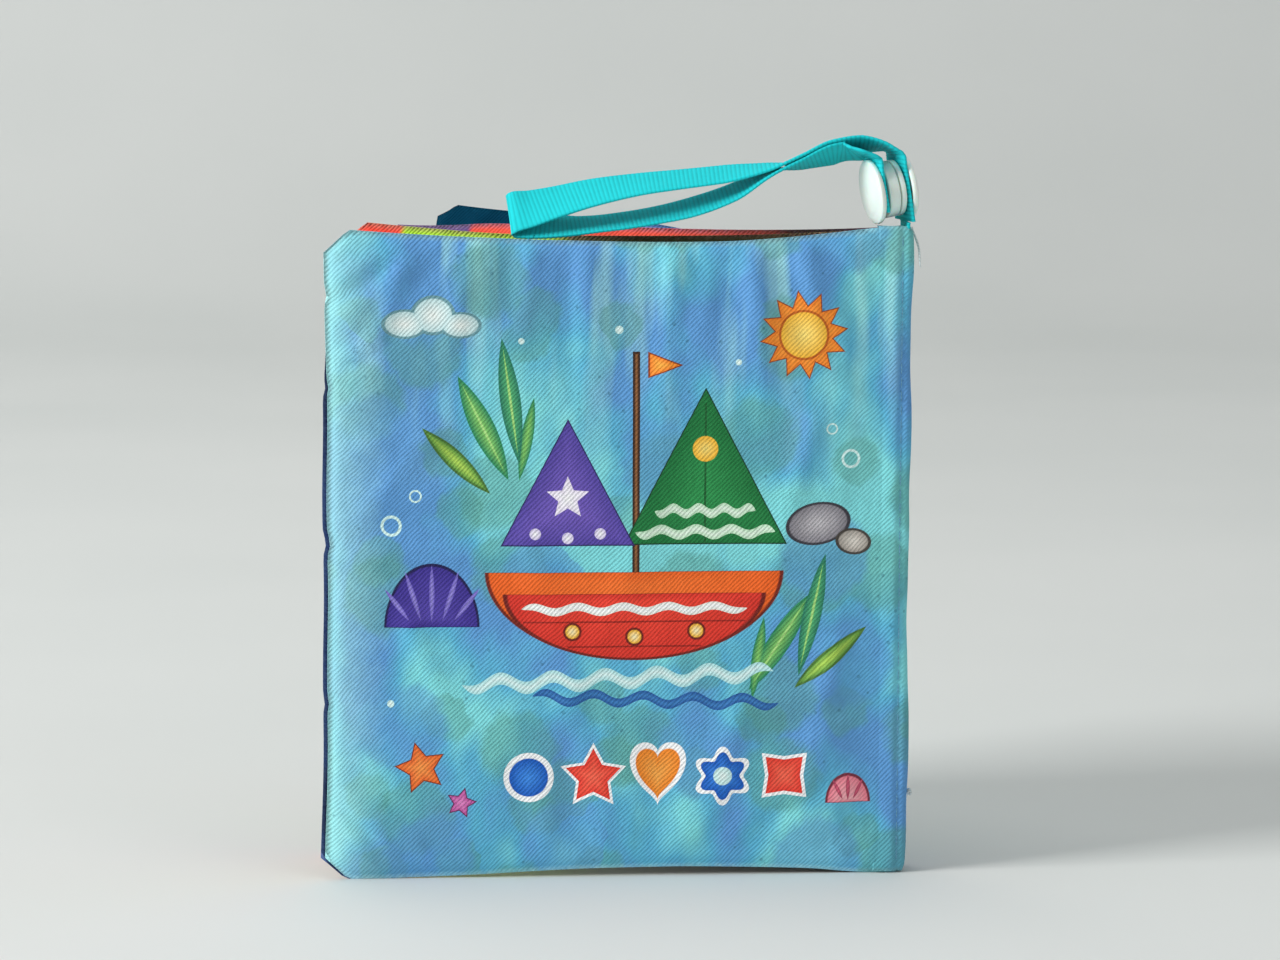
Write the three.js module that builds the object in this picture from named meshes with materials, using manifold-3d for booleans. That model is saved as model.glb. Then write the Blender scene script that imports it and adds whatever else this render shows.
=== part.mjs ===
// Cloth baby book: four padded leaves sewn in one spine, a ribbon strap and a plastic press stud.
// It stands on its lower edges with the leaves fanned open and the back cover square to the front.
// Lengths are in millimetres. +Z is up, the spine is at +X and the back cover faces -Y.

import * as THREE from 'three';
import { mergeVertices } from 'three/addons/utils/BufferGeometryUtils.js';
import Module from 'manifold-3d';

const wasm = await Module();
wasm.setup();

// Clearance between neighbouring pieces, and how far a cutter runs past what it cuts
const gap = 0.3;
const overrun = 1;

// Leaf: two cloth panels sewn at the rim, with wadding and crinkle film between them
const leafCount = 4;
const leafLength = 106.4;
const leafHeight = 120.4;
const clothThickness = 0.5;
const filmThickness = 0.3;
const waddingThickness = 1;
const edgeSlope = 16;
const rootStrip = 5;
const cornerCut = 4.5;
const topDraw = 1.7;
const bottomDraw = 1.1;
const foreDraw = 0.7;
const groundCut = 0.5;
const foldRise = 0.45;
const foldPitch = 26;
const foldReach = 40;
const fillInset = 12;
const fillCorner = 7;
const drawPower = 2.5;
const slopePower = 2.2;
const foreDrawPower = 8;

// Spine: distance between leaf roots, the spread of the fan and the cloth wrapped round the roots
const leafPitch = 2.7;
const fanSpread = THREE.MathUtils.degToRad(38);
const wrapReach = 2;
const wrapArm = 4.5;
const wrapCorner = 1.2;
const wrapInset = 0.4;

// Ribbon strap: a tail sewn in the spine and a loop that folds over at its far end
const ribbonWidth = 10;
const ribbonThickness = 0.7;
const tailWidth = 8.6;
const tailLength = 16;
const tailOffset = 1;
const strapReach = 73.6;
const strapRise = 14.4;
const hingeRise = 1.2;
const studRise = 6.4;
const studTilt = THREE.MathUtils.degToRad(10);
const studTurn = THREE.MathUtils.degToRad(12);
const clampReach = 5.6;
const capBend = 1.3;

// Press stud: a domed cap with a post on each outer side, a stud and a socket between the ribbons
const capRadius = 6.2;
const capThickness = 1.35;
const capRim = 0.5;
const postRadius = 1.5;
const postGrip = 0.6;
const discRadius = 5.2;
const discThickness = 0.9;
const knobRadius = 3.1;
const knobLip = 0.25;
const knobGrip = 1.05;
const studCrown = 0.75;
const socketFloor = 0.7;

// Number of divisions
const rowCount = 14;
const columnCount = 11;
const fillCornerSteps = 4;
const wrapSteps = 26;
const loopSteps = 58;
const returnSteps = 34;
const tailSteps = 6;
const turnSteps = 30;
const domeSteps = 5;

// Sizes worked out from those above
const seamHalf = gap / 2;
const leafHalf = seamHalf + clothThickness;
const fillStack = filmThickness + waddingThickness + 3 * gap;
const crown = fillStack / 2 - seamHalf;
const spineMiddle = leafPitch * (leafCount - 1) / 2;
const ribbonHalf = ribbonThickness / 2;
const capSeat = ribbonHalf + gap;
const studFace = capSeat + discThickness;
const knobTop = studFace + gap + knobGrip;
const socketFace = studFace + gap;
const socketRoom = knobTop + gap;
const socketBack = socketRoom + socketFloor;
const freeRibbon = socketBack + gap + ribbonHalf;
const freeCapSeat = freeRibbon + ribbonHalf + gap;
const postLength = 2 * capSeat + postGrip;
const postHole = postRadius + gap;

function clothMaterial(color) {
  return new THREE.MeshStandardMaterial({ color, roughness: 0.85, metalness: 0 });
}

const filmMaterial = new THREE.MeshStandardMaterial({ color: 0xdfe6ea, roughness: 0.25, metalness: 0 });
const waddingMaterial = clothMaterial(0xf1efe8);
const spineMaterial = clothMaterial(0x6fa9cf);
const ribbonMaterial = new THREE.MeshStandardMaterial({ color: 0x22bcc0, roughness: 0.7, metalness: 0 });
const snapMaterial = new THREE.MeshStandardMaterial({ color: 0xe4f8ec, roughness: 0.3, metalness: 0 });

// Leaves from the front view to the back, with the colours of the cloth that faces each way
const leaves = [
  { name: 'back_cover', back: 0x7bbfd2, front: 0x2b3f6b },
  { name: 'back_page', back: 0xff5a3c, front: 0xb7ee2e },
  { name: 'front_page', back: 0x5a3f8e, front: 0xf07a9a },
  { name: 'front_cover', back: 0x7fa5cf, front: 0x0a3a52 },
];

function piece(name, geometry, material) {
  const mesh = new THREE.Mesh(geometry, material);
  mesh.name = name;
  return mesh;
}

// Closed solid between two sheets of points that share one grid
function sheetSolid(front, back) {
  const columns = front.length;
  const rows = front[0].length;
  const positions = [];
  const indices = [];
  const at = (sheet, i, j) => (sheet * columns + i) * rows + j;
  const quad = (a, b, c, d) => indices.push(a, b, c, a, c, d);
  for (const sheet of [front, back]) {
    for (const column of sheet) {
      for (const point of column) {
        positions.push(point.x, point.y, point.z);
      }
    }
  }
  for (let i = 0; i < columns - 1; i++) {
    for (let j = 0; j < rows - 1; j++) {
      quad(at(0, i, j), at(0, i, j + 1), at(0, i + 1, j + 1), at(0, i + 1, j));
      quad(at(1, i, j), at(1, i + 1, j), at(1, i + 1, j + 1), at(1, i, j + 1));
    }
    quad(at(0, i, 0), at(0, i + 1, 0), at(1, i + 1, 0), at(1, i, 0));
    quad(at(0, i, rows - 1), at(1, i, rows - 1), at(1, i + 1, rows - 1), at(0, i + 1, rows - 1));
  }
  for (let j = 0; j < rows - 1; j++) {
    quad(at(0, 0, j), at(1, 0, j), at(1, 0, j + 1), at(0, 0, j + 1));
    quad(at(0, columns - 1, j), at(0, columns - 1, j + 1), at(1, columns - 1, j + 1), at(1, columns - 1, j));
  }
  const geometry = new THREE.BufferGeometry();
  geometry.setAttribute('position', new THREE.Float32BufferAttribute(positions, 3));
  geometry.setIndex(indices);
  return geometry;
}

// Leaf outline: the seams are drawn in between the corners, and the fore-edge corners are cut off
function drawnShare(distance) {
  return 1 - Math.abs(2 * distance / leafLength - 1) ** drawPower;
}

function cornerLoss(distance) {
  return Math.max(0, distance - (leafLength - cornerCut));
}

function topSeam(distance) {
  return leafHeight - topDraw * drawnShare(distance) - cornerLoss(distance);
}

function bottomSeam(distance) {
  return Math.max(0, bottomDraw * drawnShare(distance) + cornerLoss(distance) - groundCut);
}

// Height of the pillow above its seam, with soft folds that run down from the top seam
function slopeShare(distance) {
  const share = THREE.MathUtils.clamp(distance / edgeSlope, 0, 1);
  return 1 - (1 - share) ** slopePower;
}

function pillowRise(distance, height) {
  const top = topSeam(distance);
  const sideways = slopeShare(Math.min(distance - rootStrip, leafLength - distance));
  const upright = slopeShare(Math.min(height - bottomSeam(distance), top - height));
  const fold = 0.5 - 0.5 * Math.cos(2 * Math.PI * distance / foldPitch);
  const fade = THREE.MathUtils.clamp(1 - (top - height) / foldReach, 0, 1);
  return sideways * upright * (crown + foldRise * fold * fade);
}

// Columns lie closer together near the rim, where the pillow slopes
function easedShare(step, count) {
  const share = step / count;
  return (share + (1 - Math.cos(Math.PI * share)) / 2) / 2;
}

function leafColumns() {
  const distances = [0];
  const last = leafLength - cornerCut;
  for (let i = 0; i <= columnCount; i++) {
    distances.push(rootStrip + (last - rootStrip) * easedShare(i, columnCount));
  }
  distances.push(leafLength);
  return distances;
}

// One sheet of a panel, at an offset from the leaf's middle plane; side is 1 or -1
function panelSheet(side, offset) {
  return leafColumns().map((distance) => {
    const low = bottomSeam(distance);
    const high = topSeam(distance);
    const column = [];
    for (let j = 0; j <= rowCount; j++) {
      const share = easedShare(j, rowCount);
      const height = low + (high - low) * share;
      const pulled = foreDraw * (1 - (2 * share - 1) ** 2) * (distance / leafLength) ** foreDrawPower;
      const rise = offset + pillowRise(distance, height);
      column.push(new THREE.Vector3(distance - pulled, side * rise, height));
    }
    return column;
  });
}

function clothPanel(side) {
  const outer = panelSheet(side, leafHalf);
  const inner = panelSheet(side, seamHalf);
  return side > 0 ? sheetSolid(outer, inner) : sheetSolid(inner, outer);
}

// Flat filling with round corners, set in from the seams
function fillSheet(thickness, start) {
  const left = rootStrip + fillInset;
  const right = leafLength - fillInset;
  const low = bottomDraw + fillInset;
  const high = leafHeight - topDraw - fillInset;
  const shape = new THREE.Shape();
  shape.moveTo(left, low + fillCorner);
  shape.absarc(left + fillCorner, high - fillCorner, fillCorner, Math.PI, Math.PI / 2, true);
  shape.absarc(right - fillCorner, high - fillCorner, fillCorner, Math.PI / 2, 0, true);
  shape.absarc(right - fillCorner, low + fillCorner, fillCorner, 0, -Math.PI / 2, true);
  shape.absarc(left + fillCorner, low + fillCorner, fillCorner, -Math.PI / 2, -Math.PI, true);
  const geometry = new THREE.ExtrudeGeometry(shape, {
    depth: thickness,
    bevelEnabled: false,
    curveSegments: fillCornerSteps,
  });
  geometry.rotateX(Math.PI / 2);
  geometry.translate(0, start + thickness, 0);
  return geometry;
}

// A leaf lies along its own +X from the hinge line, and its +Y side faces the back of the book
function makeLeaf({ name, back, front }) {
  const waddingStart = gap - fillStack / 2;
  const filmStart = waddingStart + waddingThickness + gap;
  const leaf = new THREE.Group();
  leaf.add(piece(`${name}_cloth_back`, clothPanel(1), clothMaterial(back)));
  leaf.add(piece(`${name}_cloth_front`, clothPanel(-1), clothMaterial(front)));
  leaf.add(piece(`${name}_wadding`, fillSheet(waddingThickness, waddingStart), waddingMaterial));
  leaf.add(piece(`${name}_crinkle_film`, fillSheet(filmThickness, filmStart), filmMaterial));
  return leaf;
}

// Outer cloth wrapped round the leaf roots, from the back cover to the front cover
function makeSpineWrap() {
  const arm = leafHalf + gap + clothThickness / 2;
  const turn = Math.PI / 2 - fanSpread;
  const centre = wrapReach - wrapCorner;
  const farRoot = leafPitch * (leafCount - 1);
  const farCentre = farRoot + (arm - wrapCorner - centre * Math.cos(turn)) / Math.sin(turn);
  const nearCentre = wrapCorner - arm;
  const path = new THREE.Path();
  path.moveTo(-wrapArm, -arm);
  path.lineTo(centre, -arm);
  path.absarc(centre, nearCentre, wrapCorner, -Math.PI / 2, 0, false);
  path.absarc(centre, farCentre, wrapCorner, 0, turn, false);
  path.lineTo(
    arm * Math.cos(turn) - wrapArm * Math.sin(turn),
    farRoot + arm * Math.sin(turn) + wrapArm * Math.cos(turn),
  );
  const outer = [];
  const inner = [];
  for (let i = 0; i <= wrapSteps; i++) {
    const point = path.getPointAt(i / wrapSteps);
    const tangent = path.getTangentAt(i / wrapSteps);
    const sideways = new THREE.Vector2(tangent.y, -tangent.x).multiplyScalar(clothThickness / 2);
    outer.push(point.clone().add(sideways));
    inner.push(point.clone().sub(sideways));
  }
  const shape = new THREE.Shape([...outer, ...inner.reverse()]);
  const geometry = new THREE.ExtrudeGeometry(shape, {
    depth: leafHeight - 2 * wrapInset,
    bevelEnabled: false,
  });
  geometry.translate(0, 0, wrapInset);
  return piece('spine_wrap', geometry, spineMaterial);
}

// Press stud directions: its axis points from the spine-side cap to the free cap
const studAxis = new THREE.Vector3(
  -Math.cos(studTilt) * Math.cos(studTurn),
  -Math.cos(studTilt) * Math.sin(studTurn),
  -Math.sin(studTilt),
);
const studAcross = new THREE.Vector3(-Math.sin(studTurn), Math.cos(studTurn), 0);
const studUp = new THREE.Vector3().crossVectors(studAcross, studAxis);
const strapHinge = new THREE.Vector3(tailOffset, spineMiddle - gap, leafHeight + hingeRise);
const studCentre = strapHinge.clone().addScaledVector(studUp, studRise);
const freeCentre = studCentre.clone().addScaledVector(studAxis, freeRibbon);

// Ribbon as a solid swept through stations, each with a middle, a direction across and a width
function ribbonSolid(stations) {
  const front = [];
  const back = [];
  stations.forEach(({ middle, across, width }, i) => {
    const before = stations[Math.max(i - 1, 0)].middle;
    const after = stations[Math.min(i + 1, stations.length - 1)].middle;
    const along = new THREE.Vector3().subVectors(after, before).normalize();
    const flat = across.clone().addScaledVector(along, -across.dot(along)).normalize();
    const normal = new THREE.Vector3().crossVectors(along, flat).multiplyScalar(ribbonHalf);
    const edges = [-width / 2, width / 2].map((reach) => middle.clone().addScaledVector(flat, reach));
    front.push(edges.map((edge) => edge.clone().add(normal)));
    back.push(edges.map((edge) => edge.clone().sub(normal)));
  });
  return sheetSolid(back, front);
}

// Place on the strap: shares of its reach and rise from the hinge, its sideways drift and its roll
function strapPlace([reachShare, riseShare, driftShare, rollDegrees]) {
  const roll = THREE.MathUtils.degToRad(rollDegrees);
  return {
    middle: new THREE.Vector3(
      strapHinge.x - reachShare * strapReach,
      strapHinge.y + driftShare * ribbonWidth,
      strapHinge.z + riseShare * strapRise,
    ),
    across: new THREE.Vector3(-Math.sin(studTurn) * driftShare, Math.cos(roll), Math.sin(roll)),
  };
}

function clampPlace(centre, reach, lean = 0) {
  const middle = centre.clone().addScaledVector(studUp, reach).addScaledVector(studAxis, lean);
  return { middle, across: studAcross.clone() };
}

// Straight stretch held between the discs of the press stud, from its lower end up
const clampShares = [-1, 0, 0.7, 1.1];

function smoothStations(places, steps) {
  const middles = new THREE.CatmullRomCurve3(places.map((place) => place.middle), false, 'centripetal');
  const acrosses = new THREE.CatmullRomCurve3(places.map((place) => place.across), false, 'centripetal');
  const stations = [];
  for (let i = 0; i <= steps; i++) {
    stations.push({
      middle: middles.getPoint(i / steps),
      across: acrosses.getPoint(i / steps),
      width: ribbonWidth,
    });
  }
  return stations;
}

// Outer strand: up from the spine, over the arch, along the top and round the fold
const loopShares = [
  [0.055, 0.94, -0.05, -4],
  [0.115, 1, -0.02, -9],
  [0.185, 0.965, 0, -11],
  [0.26, 0.86, 0.06, -6],
  [0.345, 0.76, 0.12, 2],
  [0.45, 0.69, 0.2, 7],
  [0.56, 0.645, 0.27, 10],
  [0.67, 0.585, 0.32, 10],
  [0.78, 0.475, 0.34, 10],
  [0.88, 0.31, 0.34, 10],
  [0.95, 0.19, 0.34, 10],
  [0.988, 0.09, 0.34, 10],
  [1, 0.015, 0.34, 10],
  [0.985, -0.052, 0.34, 10],
  [0.955, -0.079, 0.34, 10],
];

// Inner strand: from the fold along the book's top and up under the arch to the free cap
const returnShares = [
  [0.95, -0.08, 0.34, 10],
  [0.87, -0.08, 0.34, 10],
  [0.76, -0.065, 0.34, 10],
  [0.64, -0.01, 0.32, 10],
  [0.53, 0.12, 0.26, 10],
  [0.43, 0.3, 0.19, 7],
  [0.345, 0.48, 0.12, 2],
  [0.26, 0.67, 0.06, -6],
  [0.2, 0.78, 0.01, -9],
  [0.15, 0.835, -0.03, -6],
];

function cutHole(geometry, centre) {
  const bare = geometry.clone();
  bare.deleteAttribute('normal');
  bare.deleteAttribute('uv');
  const tool = new THREE.CylinderGeometry(postHole, postHole, ribbonThickness + 2 * overrun, turnSteps);
  const turn = new THREE.Quaternion().setFromUnitVectors(new THREE.Vector3(0, 1, 0), studAxis);
  tool.applyMatrix4(new THREE.Matrix4().compose(centre, turn, new THREE.Vector3(1, 1, 1)));
  tool.deleteAttribute('normal');
  tool.deleteAttribute('uv');
  const [body, cutter] = [bare, tool].map((shape) => {
    const closed = mergeVertices(shape);
    return new wasm.Manifold(new wasm.Mesh({
      numProp: 3,
      vertProperties: closed.attributes.position.array,
      triVerts: new Uint32Array(closed.index.array),
    }));
  });
  const result = body.subtract(cutter).getMesh();
  const cut = new THREE.BufferGeometry();
  cut.setAttribute('position', new THREE.BufferAttribute(result.vertProperties, 3));
  cut.setIndex(new THREE.BufferAttribute(result.triVerts, 1));
  return cut;
}

function makeStrapTail() {
  const stations = [];
  const top = strapHinge.z - gap / 2;
  const mouth = leafHeight;
  for (let i = 0; i <= tailSteps; i++) {
    const height = top - tailLength * (1 - i / tailSteps);
    const opened = THREE.MathUtils.clamp((height - mouth) / (top - mouth), 0, 1);
    stations.push({
      middle: new THREE.Vector3(strapHinge.x, strapHinge.y, height),
      across: new THREE.Vector3(0, 1, 0),
      width: tailWidth + (ribbonWidth - tailWidth) * opened,
    });
  }
  return piece('strap_tail', ribbonSolid(stations), ribbonMaterial);
}

function makeStrapLoop() {
  const places = [
    clampPlace(strapHinge, gap / 2),
    ...clampShares.map((share) => clampPlace(studCentre, share * clampReach)),
    ...loopShares.map(strapPlace),
  ];
  const solid = ribbonSolid(smoothStations(places, loopSteps));
  return piece('strap_loop', cutHole(solid, studCentre), ribbonMaterial);
}

function makeStrapReturn() {
  const places = [
    ...returnShares.map(strapPlace),
    clampPlace(freeCentre, capRadius + capBend, capBend),
    ...clampShares.map((share) => clampPlace(freeCentre, share * clampReach)).reverse(),
  ];
  const solid = ribbonSolid(smoothStations(places, returnSteps));
  return piece('strap_return', cutHole(solid, freeCentre), ribbonMaterial);
}

// Turned pieces of the press stud; each profile runs upward on its outer side
function turned(points) {
  return new THREE.LatheGeometry(points.map(([radius, height]) => new THREE.Vector2(radius, height)), turnSteps);
}

function capSolid() {
  const profile = [[0, -postLength], [postRadius, -postLength], [postRadius, 0], [capRadius - capRim / 2, 0]];
  for (let i = 0; i <= domeSteps; i++) {
    const angle = Math.PI / 2 * i / domeSteps;
    const radius = i === domeSteps ? 0 : capRadius * Math.cos(angle);
    profile.push([radius, capRim + (capThickness - capRim) * Math.sin(angle)]);
  }
  return turned(profile);
}

function studSolid() {
  const height = knobTop - capSeat;
  const neck = knobRadius - knobLip;
  return turned([
    [0, height - studCrown],
    [postHole, height - studCrown],
    [postHole, 0],
    [discRadius, 0],
    [discRadius, discThickness],
    [neck, discThickness],
    [knobRadius, height - knobGrip / 2],
    [neck, height],
    [0, height],
  ]);
}

function socketSolid() {
  const room = socketRoom - socketFace;
  const height = socketBack - socketFace;
  return turned([
    [knobRadius + gap, 0],
    [discRadius, 0],
    [discRadius, height],
    [postHole, height],
    [postHole, room],
    [knobRadius + gap, room],
    [knobRadius + gap, 0],
  ]);
}

// Sets a turned piece on the stud's axis at a distance from the spine-side ribbon
function onStudAxis(mesh, distance, direction) {
  mesh.position.copy(studCentre).addScaledVector(studAxis, distance);
  const axis = studAxis.clone().multiplyScalar(direction);
  mesh.quaternion.setFromUnitVectors(new THREE.Vector3(0, 1, 0), axis);
  return mesh;
}

const book = new THREE.Group();
leaves.forEach((spec, index) => {
  const leaf = makeLeaf(spec);
  leaf.position.set(0, index * leafPitch, 0);
  leaf.rotation.z = Math.PI - fanSpread * index / (leafCount - 1);
  book.add(leaf);
});
book.add(makeSpineWrap());
book.add(makeStrapTail());
book.add(makeStrapLoop());
book.add(makeStrapReturn());
book.add(onStudAxis(piece('snap_cap_spine', capSolid(), snapMaterial), -capSeat, -1));
book.add(onStudAxis(piece('snap_stud', studSolid(), snapMaterial), capSeat, 1));
book.add(onStudAxis(piece('snap_socket', socketSolid(), snapMaterial), socketFace, 1));
book.add(onStudAxis(piece('snap_cap_free', capSolid(), snapMaterial), freeCapSeat, 1));

// The origin is the middle of the whole book's box, at the surface it stands on
const extent = new THREE.Box3().setFromObject(book, true);
const middle = extent.getCenter(new THREE.Vector3());
book.position.set(-middle.x, -middle.y, -extent.min.z);

export default book;
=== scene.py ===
"""Cloth baby book: four padded cloth leaves, a cloth spine, a ribbon strap and a plastic press stud.

It is laid out as an add-on: sizes and colours are properties, and each group of pieces has an operator.
Lengths inside the functions are in millimetres, and every mesh is made in metres.
"""

import math
from functools import partial

import bpy
import numpy as np
from mathutils import Matrix, Vector


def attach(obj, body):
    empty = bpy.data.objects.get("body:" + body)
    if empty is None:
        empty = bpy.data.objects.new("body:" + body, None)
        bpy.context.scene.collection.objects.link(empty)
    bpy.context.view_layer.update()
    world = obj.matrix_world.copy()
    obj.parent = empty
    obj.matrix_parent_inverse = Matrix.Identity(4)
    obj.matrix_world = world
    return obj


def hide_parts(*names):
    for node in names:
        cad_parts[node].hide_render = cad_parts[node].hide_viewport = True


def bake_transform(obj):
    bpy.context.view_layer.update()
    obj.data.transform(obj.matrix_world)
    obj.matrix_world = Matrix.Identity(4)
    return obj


bl_info = {
    "name": "Cloth baby book",
    "version": (1, 0, 0),
    "blender": (4, 5, 0),
    "location": "3D View > Sidebar > Cloth book",
    "description": "Builds a cloth baby book with padded leaves, a ribbon strap and a press stud",
    "category": "Object",
}

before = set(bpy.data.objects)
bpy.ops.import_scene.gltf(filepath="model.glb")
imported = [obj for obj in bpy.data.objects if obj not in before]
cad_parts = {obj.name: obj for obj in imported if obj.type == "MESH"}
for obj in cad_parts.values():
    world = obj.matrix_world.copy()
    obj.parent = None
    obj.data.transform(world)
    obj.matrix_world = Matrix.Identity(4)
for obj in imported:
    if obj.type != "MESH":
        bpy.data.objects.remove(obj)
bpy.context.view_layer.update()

MM = 0.001
# Book's own origin, at the foot of the first leaf's root, in the frame
BOOK_SHIFT = np.array([51.77176, -35.20912, 0.0])

# Leaves, from the front of the view to the back
LEAF_NAMES = ("back_cover", "back_page", "front_page", "front_cover")
LEAF_BODIES = ("back_cover", "back_page", "spine", "front_cover")
LEAF_LENGTH = 106.4
LEAF_HEIGHT = 120.4
LEAF_PITCH = 2.7
FAN_SPREAD = math.radians(38)
LEAF_HALF = 0.65
SEAM_HALF = 0.16
SEAM_ROUND = 1.5
SEAM_FADE = 2.5
CROWN = 1.1
EDGE_SLOPE = 7.5
ROOT_STRIP = 5.0
# Furthest that a face reaches out at the root, and that a crease sinks below the seams' roundness
ROOT_LIMIT = 1.15
DIP_LIMIT = 0.12
CORNER_CUT = 4.5
TOP_DRAW = 1.7
BOTTOM_DRAW = 1.1
FORE_DRAW = 0.7
GROUND_CUT = 0.5
GRID_STEP = 1.45
FILL_INSET = 12.0
THIN_RIM = 0.01
# Flat size of a film, in metres
PRINT_SPAN = 128.0
WASH_SIZE = 26.0
TWILL_PITCH = 0.62
# The leaf is simulated at ten times its size in metres, for this many frames
SIM_SCALE = 0.01
SIM_FRAMES = 22

# Spine: how far its cloth reaches round the roots, along the covers and up, and its pleats' room
WRAP_REACH = 2.0
WRAP_ARM = 4.5
WRAP_CORNER = 1.2
# Where the cloth is parted, across the book
WRAP_SPLITS = (1.35, 4.6)
PLEAT_FOOT = 0.9
PLEAT_TALL = 118.6
PLEAT_HALF = 0.14

# Strap and press stud, as the model's source places them
RIBBON_WIDTH = 10.0
TAIL_WIDTH = 8.6
WARP_PITCH = 0.28
STRAP_REACH = 73.6
STRAP_RISE = 14.4
STUD_TILT = math.radians(10)
STUD_TURN = math.radians(12)
STRAP_HINGE = np.array([1.0, 3.75, 121.6])
STUD_RISE = 6.4
CLAMP_REACH = 5.6
CAP_BEND = 1.3
CAP_RADIUS = 6.0
FREE_RIBBON = 4.55
CAP_SEAT = 0.65
FREE_CAP_SEAT = 5.2
SOCKET_FACE = 1.85
POST_HOLE = 1.8
HOLE_REACH = 1.6

STUD_AXIS = np.array([
    -math.cos(STUD_TILT) * math.cos(STUD_TURN),
    -math.cos(STUD_TILT) * math.sin(STUD_TURN),
    -math.sin(STUD_TILT),
])
STUD_ACROSS = np.array([-math.sin(STUD_TURN), math.cos(STUD_TURN), 0.0])
STUD_UP = np.cross(STUD_ACROSS, STUD_AXIS)
STUD_CENTRE = STRAP_HINGE + STUD_RISE * STUD_UP
FREE_CENTRE = STUD_CENTRE + FREE_RIBBON * STUD_AXIS

# Threads, and the camera's place in metres
STITCH_RADIUS = 0.075
LOOSE_RADIUS = 0.2
KNOT_RADIUS = 0.14
CAMERA_PLACE = (-0.0770, -0.9457, 0.1871)

# The strap's places: shares of its reach, of its rise and of its width to the back, and its roll in degrees
LOOP_SHARES = (
    (0.055, 0.94, -0.05, -10), (0.115, 0.97, -0.02, -22), (0.185, 0.9, 0, -26), (0.26, 0.78, 0.06, -15),
    (0.345, 0.68, 0.12, 2), (0.45, 0.59, 0.2, 13), (0.56, 0.52, 0.27, 15), (0.67, 0.45, 0.32, 18),
    (0.78, 0.35, 0.34, 24), (0.87, 0.235, 0.33, 29), (0.935, 0.15, 0.31, 36), (0.977, 0.105, 0.295, 43),
    (0.99, 0.06, 0.345, 44), (0.977, 0.015, 0.395, 43), (0.95, -0.025, 0.395, 37), (0.925, -0.055, 0.385, 30),
)
RETURN_SHARES = (
    (0.94, -0.04, 0.39, 34), (0.905, -0.072, 0.375, 25), (0.86, -0.088, 0.355, 17), (0.76, -0.05, 0.34, 12),
    (0.64, 0.04, 0.32, 12), (0.53, 0.17, 0.26, 14), (0.43, 0.36, 0.19, 12), (0.345, 0.6, 0.12, 2),
    (0.26, 0.72, 0.06, -15), (0.185, 0.845, 0, -26), (0.145, 0.89, -0.01, -22),
)

# What the second word of a node's kind sets, where it isn't the operation
MODES = {"Mix": "data_type", "TexNoise": "noise_dimensions", "TexVoronoi": "voronoi_dimensions"}


def linear(code):
    """Turns an sRGB hex value into linear RGBA."""
    channels = [int(code[i:i + 2], 16) / 255 for i in (1, 3, 5)]
    return [c / 12.92 if c <= 0.04045 else ((c + 0.055) / 1.055) ** 2.4 for c in channels] + [1.0]


def node(tree, kind, *inputs, out=0, to=None, stops=(), **settings):
    """Adds a node, sets its properties and colour stops, sets or links its inputs, and gives one output.

    The inputs are values in their order or one dict of them, and settings with a capital letter are inputs too.
    The output is also linked to the input of the Principled shader that `to` names.
    """
    kind, *mode = kind.split()
    made = tree.nodes.new("ShaderNode" + kind)
    if mode:
        setattr(made, MODES.get(kind, "operation"), mode[0])
    sockets = dict(inputs[0]) if inputs and isinstance(inputs[0], dict) else dict(enumerate(inputs))
    for key, value in settings.items():
        if key[0].isupper():
            sockets[key] = value
        else:
            setattr(made, key, value)
    if stops:
        elements = made.color_ramp.elements
        while len(elements) < len(stops):
            elements.new(1.0)
        for element, (position, colour, *alpha) in zip(elements, stops):
            element.position = position
            element.color = linear(colour)[:3] + (alpha or [1.0])
    for key, value in sockets.items():
        if isinstance(value, bpy.types.NodeSocket):
            tree.links.new(value, made.inputs[key])
        else:
            made.inputs[key].default_value = linear(value) if isinstance(value, str) else value
    if to:
        tree.links.new(made.outputs[out], tree.nodes["Principled BSDF"].inputs[to])
    return made.outputs[out]


def new_material(name, **constants):
    """Material whose Principled shader has these even values, and the function that adds nodes to it."""
    material = bpy.data.materials.new(name)
    material.use_nodes = True
    shader = material.node_tree.nodes["Principled BSDF"]
    for key, value in constants.items():
        shader.inputs[key.replace("_", " ")].default_value = value
    return material, partial(node, material.node_tree)


def smooth_noise(x, y, seed):
    """Seeded sum of waves that stands for soft random waviness, about -1 to 1."""
    draw = np.random.default_rng(seed)
    total = np.zeros(np.broadcast(x, y).shape)
    for _ in range(7):
        angle, phase = draw.uniform(0, 2 * math.pi, 2)
        rate = draw.uniform(0.5, 1.6)
        total = total + np.sin(rate * (x * math.cos(angle) + y * math.sin(angle)) + phase)
    return total / 4.5


def unit(rows):
    """Vectors made one long."""
    return rows / np.linalg.norm(rows, axis=-1, keepdims=True)


def plain_object(name, points, faces):
    """Smooth-shaded object in the scene, from points in metres."""
    mesh = bpy.data.meshes.new(name)
    mesh.from_pydata(points, [], faces)
    mesh.shade_smooth()
    item = bpy.data.objects.new(name, mesh)
    bpy.context.scene.collection.objects.link(item)
    return item


def solid_piece(name, points, faces, material, slot):
    """Closed piece from points in millimetres in the frame, with faces outward and its material; its slot is not used.
    """
    points = np.asarray(points, float) * MM
    piece = plain_object(name, points.tolist(), faces)
    mesh = piece.data
    mesh.validate()
    mesh.update()
    mesh.calc_loop_triangles()
    corners = np.zeros(len(mesh.loop_triangles) * 3, np.int32)
    mesh.loop_triangles.foreach_get("vertices", corners)
    a, b, c = points[corners.reshape(-1, 3)].transpose(1, 0, 2)
    if np.einsum("ij,ij->i", a, np.cross(b, c)).sum() < 0:
        mesh.flip_normals()
    mesh.materials.append(material)
    return piece


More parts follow.
